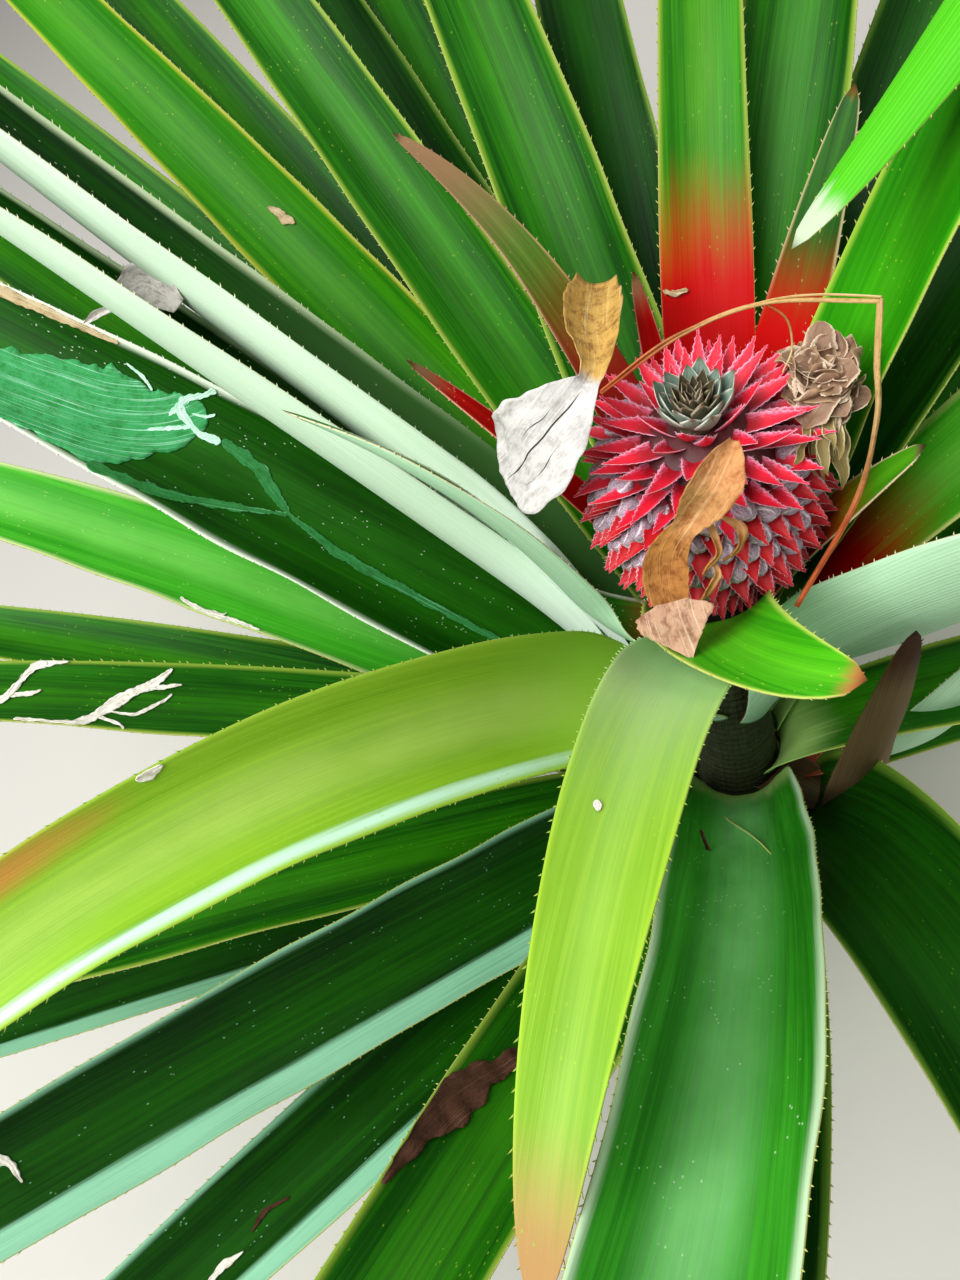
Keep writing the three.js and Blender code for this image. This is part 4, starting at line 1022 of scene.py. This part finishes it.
# Small things that lie on a leaf, row by row: the tissue, spots along it as shares of the leaf's half width
# and of its length, the widths in millimetres, and how far it stands off
laidTable = {
    "leaf_left_wide": [
        ("film", [(0.45, 0.79), (0.45, 0.713), (0.25, 0.648), (0.12, 0.616), (-0.12, 0.585), (-0.38, 0.565),
         (-0.62, 0.553)], [30, 38, 52, 60, 38, 28, 14], 0.2),
        ("lace", [(-0.3, 0.575), (-0.6, 0.568), (-0.8, 0.556), (-0.95, 0.55)], [2, 4, 3, 3.5], 0.7),
        ("lace", [(-0.62, 0.572), (-0.42, 0.568), (-0.28, 0.55), (-0.3, 0.53)], [3, 5, 4, 5], 0.8),
        ("lace", [(0.0, 0.585), (-0.16, 0.57), (-0.3, 0.556)], [1.5, 3, 2], 0.7),
        ("lace", [(-0.46, 0.56), (-0.52, 0.548), (-0.6, 0.543)], [1, 2, 1.5], 0.7),
        ("lace", [(-0.7, 0.62), (-0.62, 0.605), (-0.5, 0.594)], [1, 2, 1], 0.6),
        ("trail", [(-0.32, 0.53), (-0.22, 0.495), (-0.05, 0.475), (0.1, 0.455)], [5, 8, 8, 2], 0.3),
        ("trail", [(0.1, 0.458), (0.2, 0.42), (0.25, 0.392), (0.25, 0.33), (0.25, 0.24)], [2, 5, 6, 5, 4],
         0.3),
        ("trail", [(0.9, 0.61), (0.75, 0.559), (0.45, 0.511), (0.12, 0.456)], [7, 8, 5, 2], 0.3),
        ("tan", [(-0.93, 0.63), (-0.9, 0.68), (-0.88, 0.74), (-0.9, 0.78)], [2, 5, 7, 4], 0.6),
    ],
    "leaf_left_narrow": [
        ("white", [(0.96, 0.69), (0.96, 0.65), (0.73, 0.633), (0.12, 0.615), (-0.42, 0.588),
         (-0.85, 0.571)], [2.5, 3.5, 6, 6, 5, 2], 1.0),
        ("white", [(0.0, 0.612), (-0.3, 0.59), (-0.45, 0.562)], [2, 3, 1.5], 1.0),
        ("white", [(0.6, 0.63), (0.8, 0.612), (0.97, 0.606)], [2, 2, 1], 1.0),
        ("white", [(0.4, 0.622), (0.45, 0.6), (0.1, 0.58), (-0.2, 0.57)], [1, 2, 2, 1], 0.8),
        ("white", [(0.5, 0.715), (0.1, 0.7), (-0.6, 0.687), (-0.96, 0.672)], [5, 4, 3, 4], 1.0),
        ("white", [(-0.8, 0.685), (-0.95, 0.67), (-0.97, 0.655)], [2, 4, 1], 1.0),
        ("white", [(0.1, 0.7), (0.0, 0.685), (-0.15, 0.674)], [2, 3, 1], 1.0),
    ],
    "leaf_left_under": [
        ("white", [(0.85, 0.54), (0.93, 0.52), (0.93, 0.49), (0.95, 0.465)], [1.5, 4, 4, 1], 1.0),
        ("white", [(0.93, 0.506), (0.86, 0.5), (0.8, 0.498)], [2, 1.5, 0.6], 1.0),
    ],
    "leaf_front_left_arching": [
        ("white", [(-0.95, 0.556), (-0.93, 0.548), (-0.95, 0.54)], [2, 5, 2], 0.5),
    ],
    "leaf_left_long": [
        ("tan", [(-0.3, 0.467), (-0.22, 0.474), (-0.2, 0.482), (-0.1, 0.49)], [2, 7, 5, 2], 1.2),
    ],
    "leaf_front_drooping": [
        ("white", [(-0.42, 0.629), (-0.37, 0.634), (-0.34, 0.64)], [1, 3.5, 1], 0.5),
    ],
    "leaf_back_middle": [
        ("tan", [(0.98, 0.322), (0.72, 0.318), (0.42, 0.32)], [2, 2.6, 1.6], 1.4),
    ],
    "leaf_front_left_dark": [
        ("dead", [(-0.93, 0.572), (-0.9, 0.54), (-0.8, 0.51), (-0.62, 0.485), (-0.42, 0.462), (-0.1, 0.42)],
         [2, 9, 22, 15, 9, 13], 2.5),
    ],
    "leaf_front_left_long": [
        ("white", [(-0.7, 0.668), (-0.35, 0.645), (0.1, 0.64)], [1.5, 3.5, 1], 1.0),
    ],
    "skirt_leaf_14": [
        ("white", [(0.3, 0.61), (0.2, 0.596), (0.25, 0.58)], [1.5, 4, 1], 1.0),
        ("dead", [(0.1, 0.57), (0.0, 0.556), (0.1, 0.54)], [1, 2.5, 1], 0.8),
    ],
}
laidRows = [(name, *row) for name, group in laidTable.items() for row in group]
laidLook = {
    "rowStep": 0.8, "leastRows": 14, "mostRows": 220, "columns": 13, "endShare": 0.3, "tearShare": 0.22,
    "fineTear": 0.5, "fineTearSize": 4, "broadTear": 2.4, "broadTearSize": 16, "curlSize": 7,
    "curlGrowth": 0.6, "thickness": 0.55, "lastShare": 0.985, "lastPlace": 0.995,
}

# Torn bits that hang from a leaf: the tissue, the line, the widths and the way they face
hangingTable = [
    ("grey", [[-231, 95, 512], [-239, 101, 518], [-249, 105, 521], [-268, 97, 517]], [8, 19, 20, 3],
     [0.1, -0.6, 0.8]),
    ("grey", [[-262, 96, 518], [-272, 95, 517], [-282, 95, 514]], [3, 4, 1], [0.1, -0.6, 0.8]),
    ("dead", [[-22, -104, 287], [-18, -116, 273], [-11, -127, 255]], [1.5, 2.4, 1], [0, -0.5, 1]),
]
hangingLook = {"rows": 60, "columns": 15, "cup": [1.5, 3, 2, 0.5], "turn": 25}


def curveThrough(line, count):  # a smooth curve through the points
    line = np.asarray(line, float)
    padded = np.concatenate([[2 * line[0] - line[1]], line, [2 * line[-1] - line[-2]]])
    at = np.linspace(0, len(line) - 1, count)
    low = np.minimum(at.astype(int), len(line) - 2)
    t = (at - low)[:, None]
    p0, p1, p2, p3 = padded[low], padded[low + 1], padded[low + 2], padded[low + 3]
    return 0.5 * (2 * p1 + (p2 - p0) * t + (2 * p0 - 5 * p1 + 4 * p2 - p3) * t ** 2
                  + (3 * p1 - p0 - 3 * p2 + p3) * t ** 3)


dryTones = {  # ground, stain and worn colour
    "tan": ("c29a4e", "7a4e20", "e0c890"), "grey": ("ccc9c4", "a09a94", "e8e5e0"),
    "buff": ("c48e5a", "945426", "e8bc90"), "rust": ("a87038", "6a3410", "d8a468"),
    "wheat": ("c8a468", "94682c", "e8d2a4"), "ember": ("a85026", "6e2810", "d08a50"),
}


def changingMaterial(name, tissue, stainShare, seed):
    # Dry tissue that passes from one tone to the next between two shares of its length
    (first, start), (second, end) = tissue

    def paint(tree, lay, share):
        wander = scaled(tree, grain(tree, lay, (120, 120, 1)), 0.08, axesOf(tree, share)[1])
        passed = fade(tree, wander, start + 0.04, end + 0.04)
        tones = (blend(tree, passed, tone(a), tone(b)) for a, b in zip(dryTones[first], dryTones[second]))
        return drySurface(tree, lay, seed, *tones, stainShare)
    return makeMaterial(name, paint, bump=0.7, depth=0.0008, Specular_IOR_Level=0.2)


dryMaterials = {
    "tan": dryMaterial("dry_tan", "c8b088", "8a6a40", "e8dcc0", 0.7, 1.0),
    "grey": dryMaterial("dry_grey", "c4bfb6", "7c7268", "ece8e0", 0.8, 2.0),
    "pink": dryMaterial("dry_pink", "bc9478", "7c5038", "e8d0bc", 0.85, 8.0),
    "brown": scaleMaterial("dry_brown", "5c4434", "b08a6c", "dcc4a8", "a88460"),
    "olive": scaleMaterial("dry_olive", "6a5a2c", "a8965c", "dccf9c", "8a7440"),
    "straw": changingMaterial("dry_straw", (("ember", 0.1), ("wheat", 0.7)), 0.6, 5.0),
    "foot": changingMaterial("dry_straw_foot", (("wheat", 0.2), ("ember", 0.75)), 0.6, 9.0),
    "crack": dryMaterial("dry_crack", "3c362e", "1c1814", "6a6258", 0.5, 4.0),
    "film": dryMaterial("laid_film", "3a9a58", "247a30", "b4ecd0", 0.8, 11.0),
    "trail": dryMaterial("laid_trail", "2c7a3a", "1c5c20", "8cd0a4", 0.7, 12.0),
    "lace": dryMaterial("laid_lace", "c4ecd4", "7cc498", "ffffff", 0.5, 13.0),
    "white": dryMaterial("laid_white", "ece6da", "9c8c78", "ffffff", 0.5, 14.0),
    "dead": dryMaterial("laid_dead", "4c2e20", "2a160e", "7c5440", 0.7, 15.0),
}


def between(values, rows):  # values spread evenly over the rows
    return np.interp(np.linspace(0, 1, rows), np.linspace(0, 1, len(values)), values)


def lengthAlong(line):
    return np.concatenate([[0], np.cumsum(np.linalg.norm(np.diff(line, axis=0), axis=1))])


def stripGrid(spec, rows, cols, seed):
    # The sheet of a dry leaf along its line, cupped, turned and crinkled
    line = curveThrough(spec["line"], rows)
    share = np.linspace(0, 1, rows)
    along = unit(np.gradient(line, axis=0))
    width = np.convolve(np.pad(between(spec["width"], rows), 2, mode="edge"), np.ones(5) / 5, mode="valid")
    side = unit(np.cross(along, unit(np.array(spec["facing"], float))))
    face = np.cross(side, along)
    turn = np.radians(spec["turn"] * share)[:, None]
    side, face = side * np.cos(turn) + face * np.sin(turn), face * np.cos(turn) - side * np.sin(turn)
    spread = np.linspace(-1, 1, cols)
    margins = pairs(share[:, None] * 90, np.sign(spread))
    notch = 1 + dryLook["notch"] * ripple(margins, seed + 5, dryLook["notchSize"])
    half = width[:, None] / 2 * spread * notch
    lift = between(spec["cup"], rows)[:, None] * spread ** 2
    upper = line[:, None] + side[:, None] * half[..., None] + face[:, None] * lift[..., None]
    crinkle = ripple(upper, seed, dryLook["crinkleSize"]) * dryLook["crinkle"]
    crinkle = crinkle + ripple(upper, seed + 1, dryLook["fineCrinkleSize"]) * dryLook["fineCrinkle"]
    upper = upper + face[:, None] * crinkle[..., None]
    lower = upper - face[:, None] * dryLook["thickness"]
    return upper, lower, pairs(half, lengthAlong(line)[:, None]) * mm, pairs((spread + 1) / 2, share[:, None])


def tubeRings(line, radii, cols, flat=1.0):
    line = np.asarray(line, float)
    along = unit(np.gradient(line, axis=0))
    side = unit(np.cross(along, [0.31, 0.17, 0.93]))  # any way that no line here follows
    deep = np.cross(along, side)
    turn = np.linspace(0, 2 * math.pi, cols, endpoint=False)
    radii = np.broadcast_to(np.asarray(radii, float), len(line))[:, None]
    wide, high = (radii * np.cos(turn))[..., None], (radii * flat * np.sin(turn))[..., None]
    return line[:, None] + side[:, None] * wide + deep[:, None] * high


def buildDryLeaf(name, spec, seed):
    pile = Pile()
    grids = stripGrid(spec, dryLook["rows"], dryLook["columns"], seed)
    pile.sheet(*grids)
    upper, lower = grids[:2]
    out = unit(upper - lower) * 0.1
    for column, low, high, radius in spec.get("cracks", ()):  # dark cracks down the pale half
        drift = ripple(np.arange(low, high)[:, None], seed + column, dryLook["crackDriftSize"])
        side = unit(upper[low:high, column + 1] - upper[low:high, column])
        crack = upper[low:high, column] + out[low:high, column] + side * drift[:, None] * dryLook["crackDrift"]
        ends = np.minimum(np.arange(high - low), np.arange(high - low)[::-1]) / dryLook["crackEnd"]
        pile.rings(tubeRings(crack, radius * np.clip(ends, 0.15, 1), 6), 1)
    for number, (line, width) in enumerate(spec.get("ribbons", ())):
        broad = max(width) > dryLook["broadRibbon"]
        ribbon = {"line": line, "width": width, "cup": dryLook["ribbonCup"], "facing": dryLook["ribbonFacing"],
                  "turn": 0 if broad else dryLook["ribbonTurn"]}
        pile.sheet(*stripGrid(ribbon, 40, 15 if broad else 7, seed + 20 + number), int(broad))
    tissue = changingMaterial(name + "_tissue", spec["tissue"], dryLook["stainShare"], seed)
    pile.build(name + "_sheet", [tissue, dryMaterials[spec["second"]]], [name], "dry_leaf")


def buildStraw():
    pile = Pile()
    rows = straw["rows"]
    for slot, part in enumerate(("stalk", "foot")):
        curve = curveThrough(straw[part], rows)
        radii = straw["radius"] * np.linspace(*straw[part + "Sizes"], rows)
        pile.rings(tubeRings(curve, radii, 10, straw["flat"]), slot)
        wander = np.sin(np.linspace(0, straw["strandTurns"], rows))[:, None] * straw["strandSway"]
        strand = curve + wander + straw["strandPlace"]
        pile.rings(tubeRings(strand, straw["strand"], 7, straw["strandFlat"]), slot)
    shoot = curveThrough(straw["shoot"], straw["shootRows"])
    pile.rings(tubeRings(shoot, np.linspace(*straw["shootRadii"], len(shoot)), 7, 0.6), 0)
    pile.build("dry_straw_stalk", [dryMaterials["straw"], dryMaterials["foot"]], ["dry_straw"], "dry_leaf")


def addFold(pile, rng, root, azimuth, look, slot):  # one crumpled plate or strip
    ranges = [look[key] for key in ("tilt", "length", "width", "cup", "curl")]
    drawn = [rng.uniform(*ends) if isinstance(ends, tuple) else ends for ends in ranges]
    grids = bractGrid(root, azimuth, *drawn, rng, look["rows"], look["columns"], look["teeth"], look["keen"])
    crease = np.stack([ripple(grids[0], rng.integers(999), look["creaseSize"]) for _ in range(3)], -1)
    crease = crease * look["crease"]
    pile.sheet(grids[0] + crease, grids[1] + crease, *grids[2:], slot)


def buildWithered():
    rng = np.random.default_rng(77)
    pile = Pile()
    centre, size = np.array(withered["centre"]), withered["size"]
    turn = np.linspace(0, 2 * math.pi, withered["columns"], endpoint=False)
    rows = np.linspace(0.1, math.pi - 0.1, withered["rows"])[:, None]
    ball = pairs(np.sin(rows) * np.cos(turn), np.sin(rows) * np.sin(turn), -np.cos(rows))
    crumple = 0.66 + 0.18 * ripple(ball, 5, 1.1) + 0.14 * ripple(ball, 6, 0.4)
    pile.rings(ball * crumple[..., None] * size + centre)
    for _ in range(withered["plates"]):
        way = unit(rng.normal(size=3) + [0.0, -0.2, 0.5])
        root = centre + way * size * rng.uniform(0.4, 0.7)
        addFold(pile, rng, root, math.atan2(way[1], way[0]) + rng.normal(0, 1.1), witheredPlate, 0)
    for _ in range(withered["strips"]):
        root = centre + [rng.uniform(-8, 5), rng.uniform(-14, -6), rng.uniform(-10, 4)]
        addFold(pile, rng, root, math.radians(rng.uniform(-125, -65)), witheredStrip, 1)
    materials = [dryMaterials["brown"], dryMaterials["olive"]]
    pile.build("withered_leaf_folds", materials, ["withered_leaf"], "dry_leaf")


def onLeaf(name, places, shares, lift):
    # Points above a leaf's upper side, from shares of the half width and of the length
    share, line, side, face, curve, half = leafFrames[name]

    def along(values):
        return np.stack([np.interp(shares, share, values[:, axis]) for axis in range(3)], -1)

    bend, wide = np.interp(shares, share, curve), np.interp(shares, share, half)
    radius = bend - lift - leafRelief(leafSeeds[name], shares * leafTable[name]["length"], places, wide)
    angle = wide / bend * places
    out = (radius * np.sin(angle))[..., None] * along(side)
    return along(line) + out + (bend - radius * np.cos(angle))[..., None] * along(face)


def laidGrid(name, spots, widths, lift, seed):
    # A ragged strip along the spots, laid on the leaf as if it were unrolled
    length, share, half = leafTable[name]["length"], leafFrames[name][0], leafFrames[name][5]
    spots = np.asarray(spots, float)
    flat = pairs(spots[:, 0] * np.interp(spots[:, 1], share, half), spots[:, 1] * length)
    rows = lengthAlong(flat)[-1] / laidLook["rowStep"]
    rows = int(np.clip(rows, laidLook["leastRows"], laidLook["mostRows"]))
    line = curveThrough(flat, rows)
    far = lengthAlong(line)
    along = unit(np.gradient(line, axis=0))
    across = pairs(along[:, 1], -along[:, 0])
    width = between(widths, rows)
    ends = np.minimum(far, far[-1] - far) / (laidLook["endShare"] * width + 0.3) + 0.03
    width = (width * np.sqrt(np.clip(ends, 0, 1)))[:, None]
    spread = np.linspace(-1, 1, laidLook["columns"])
    margins = pairs(far[:, None], np.sign(spread) * 40)
    torn = 0
    for number, tear in enumerate(("fineTear", "broadTear")):
        most = np.minimum(width * laidLook["tearShare"], laidLook[tear])
        torn = torn + most * ripple(margins, seed + number, laidLook[tear + "Size"])
    reach = (width / 2 + torn) * spread
    places = line[:, None] + across[:, None] * reach[..., None]
    shares = np.clip(places[..., 1] / length, 0.02, laidLook["lastShare"])
    last = laidLook["lastPlace"]
    places = np.clip(places[..., 0] / np.interp(shares, share, half), -last, last)
    curlSize = laidLook["curlSize"] + laidLook["curlGrowth"] * max(widths)
    curl = lift * (0.5 + 0.5 * ripple(pairs(far[:, None], spread * 9), seed + 2, curlSize))
    upper, lower = (onLeaf(name, places, shares, height + curl) for height in (laidLook["thickness"], 0))
    return upper, lower, pairs(reach, far[:, None]) * mm, pairs((spread + 1) / 2, (far / far[-1])[:, None])


def buildLaid():
    for tissue in dict.fromkeys(row[1] for row in laidRows):
        pile = Pile()
        for number, (name, kind, *row) in enumerate(laidRows):
            if kind == tissue:
                pile.sheet(*laidGrid(name, *row, 200 + 3 * number))
        pile.build("laid_" + tissue, [dryMaterials[tissue]])
    for number, (tissue, line, widths, facing) in enumerate(hangingTable):
        pile = Pile()
        bit = {"line": line, "width": widths, "facing": facing, **hangingLook}
        pile.sheet(*stripGrid(bit, bit["rows"], bit["columns"], 300 + 3 * number))
        pile.build("hanging_bit_%d" % (number + 1), [dryMaterials[tissue]])


leafFrames = {name: leafFrame(leafTable[name]) for name in laidTable}
for number, (name, spec) in enumerate(dryTable.items()):
    buildDryLeaf(name, spec, number + 3)
buildStraw()
buildWithered()
buildLaid()
print("Dry leaves are laid")

# Floor, light and camera
studio = {
    "floor": "cfccc4", "floorReach": 6, "floorRoughness": 0.9, "world": 0.2, "aim": (0, 0, 0.4),
    "lights": {  # place, power and size
        "key_light": ((-0.75, -0.55, 1.9), 50, 1.2), "fill_light": ((1.3, -0.9, 1.2), 9, 1.8),
        "back_light": ((0.3, 1.5, 1.6), 14, 1.8),
    },
}
view = {  # the photo's view, as the places of its axes in the plant's
    "place": (0, -0.268, 0.782), "right": (0.964, 0.020, -0.267), "up": (0.115, 0.869, 0.481),
    "back": (0.241, -0.494, 0.835), "focalShare": 967 / 1280, "sensor": 36,
}


def buildStudio():
    reach = studio["floorReach"]
    mesh = bpy.data.meshes.new("studio_floor")
    mesh.from_pydata([(-reach, -reach, 0), (reach, -reach, 0), (reach, reach, 0), (-reach, reach, 0)], [],
                     [(0, 1, 2, 3)])
    material = bpy.data.materials.new("studio_floor")
    material.use_nodes = True
    surface = material.node_tree.nodes["Principled BSDF"].inputs
    surface["Base Color"].default_value = tone(studio["floor"])
    surface["Roughness"].default_value = studio["floorRoughness"]
    mesh.materials.append(material)
    addObject("studio_floor", mesh)
    world = bpy.data.worlds.new("studio_world")
    world.use_nodes = True
    sky = world.node_tree.nodes["Background"].inputs
    sky[0].default_value = (1, 1, 1, 1)
    sky[1].default_value = studio["world"]
    bpy.context.scene.world = world
    for name, (place, power, size) in studio["lights"].items():
        light = bpy.data.lights.new(name, "AREA")
        light.energy = power
        light.size = size
        lamp = addObject(name, light)
        lamp.location = place
        lamp.rotation_euler = (Vector(studio["aim"]) - Vector(place)).to_track_quat("-Z", "Y").to_euler()


def buildCamera():
    data = bpy.data.cameras.new("view_camera")
    data.lens = view["sensor"] * view["focalShare"]
    data.clip_start = 0.01
    camera = addObject("view_camera", data)
    turn = Matrix((view["right"], view["up"], view["back"])).transposed().to_4x4()
    camera.matrix_world = Matrix.Translation(view["place"]) @ turn
    bpy.context.scene.camera = camera


buildStudio()
buildCamera()
bpy.context.scene.view_settings.view_transform = "Standard"
meshes = [piece.data for piece in bpy.context.scene.objects if piece.type == "MESH"]
print("Triangles:", sum(len(face.vertices) - 2 for mesh in meshes for face in mesh.polygons))
bpy.context.view_layer.update()
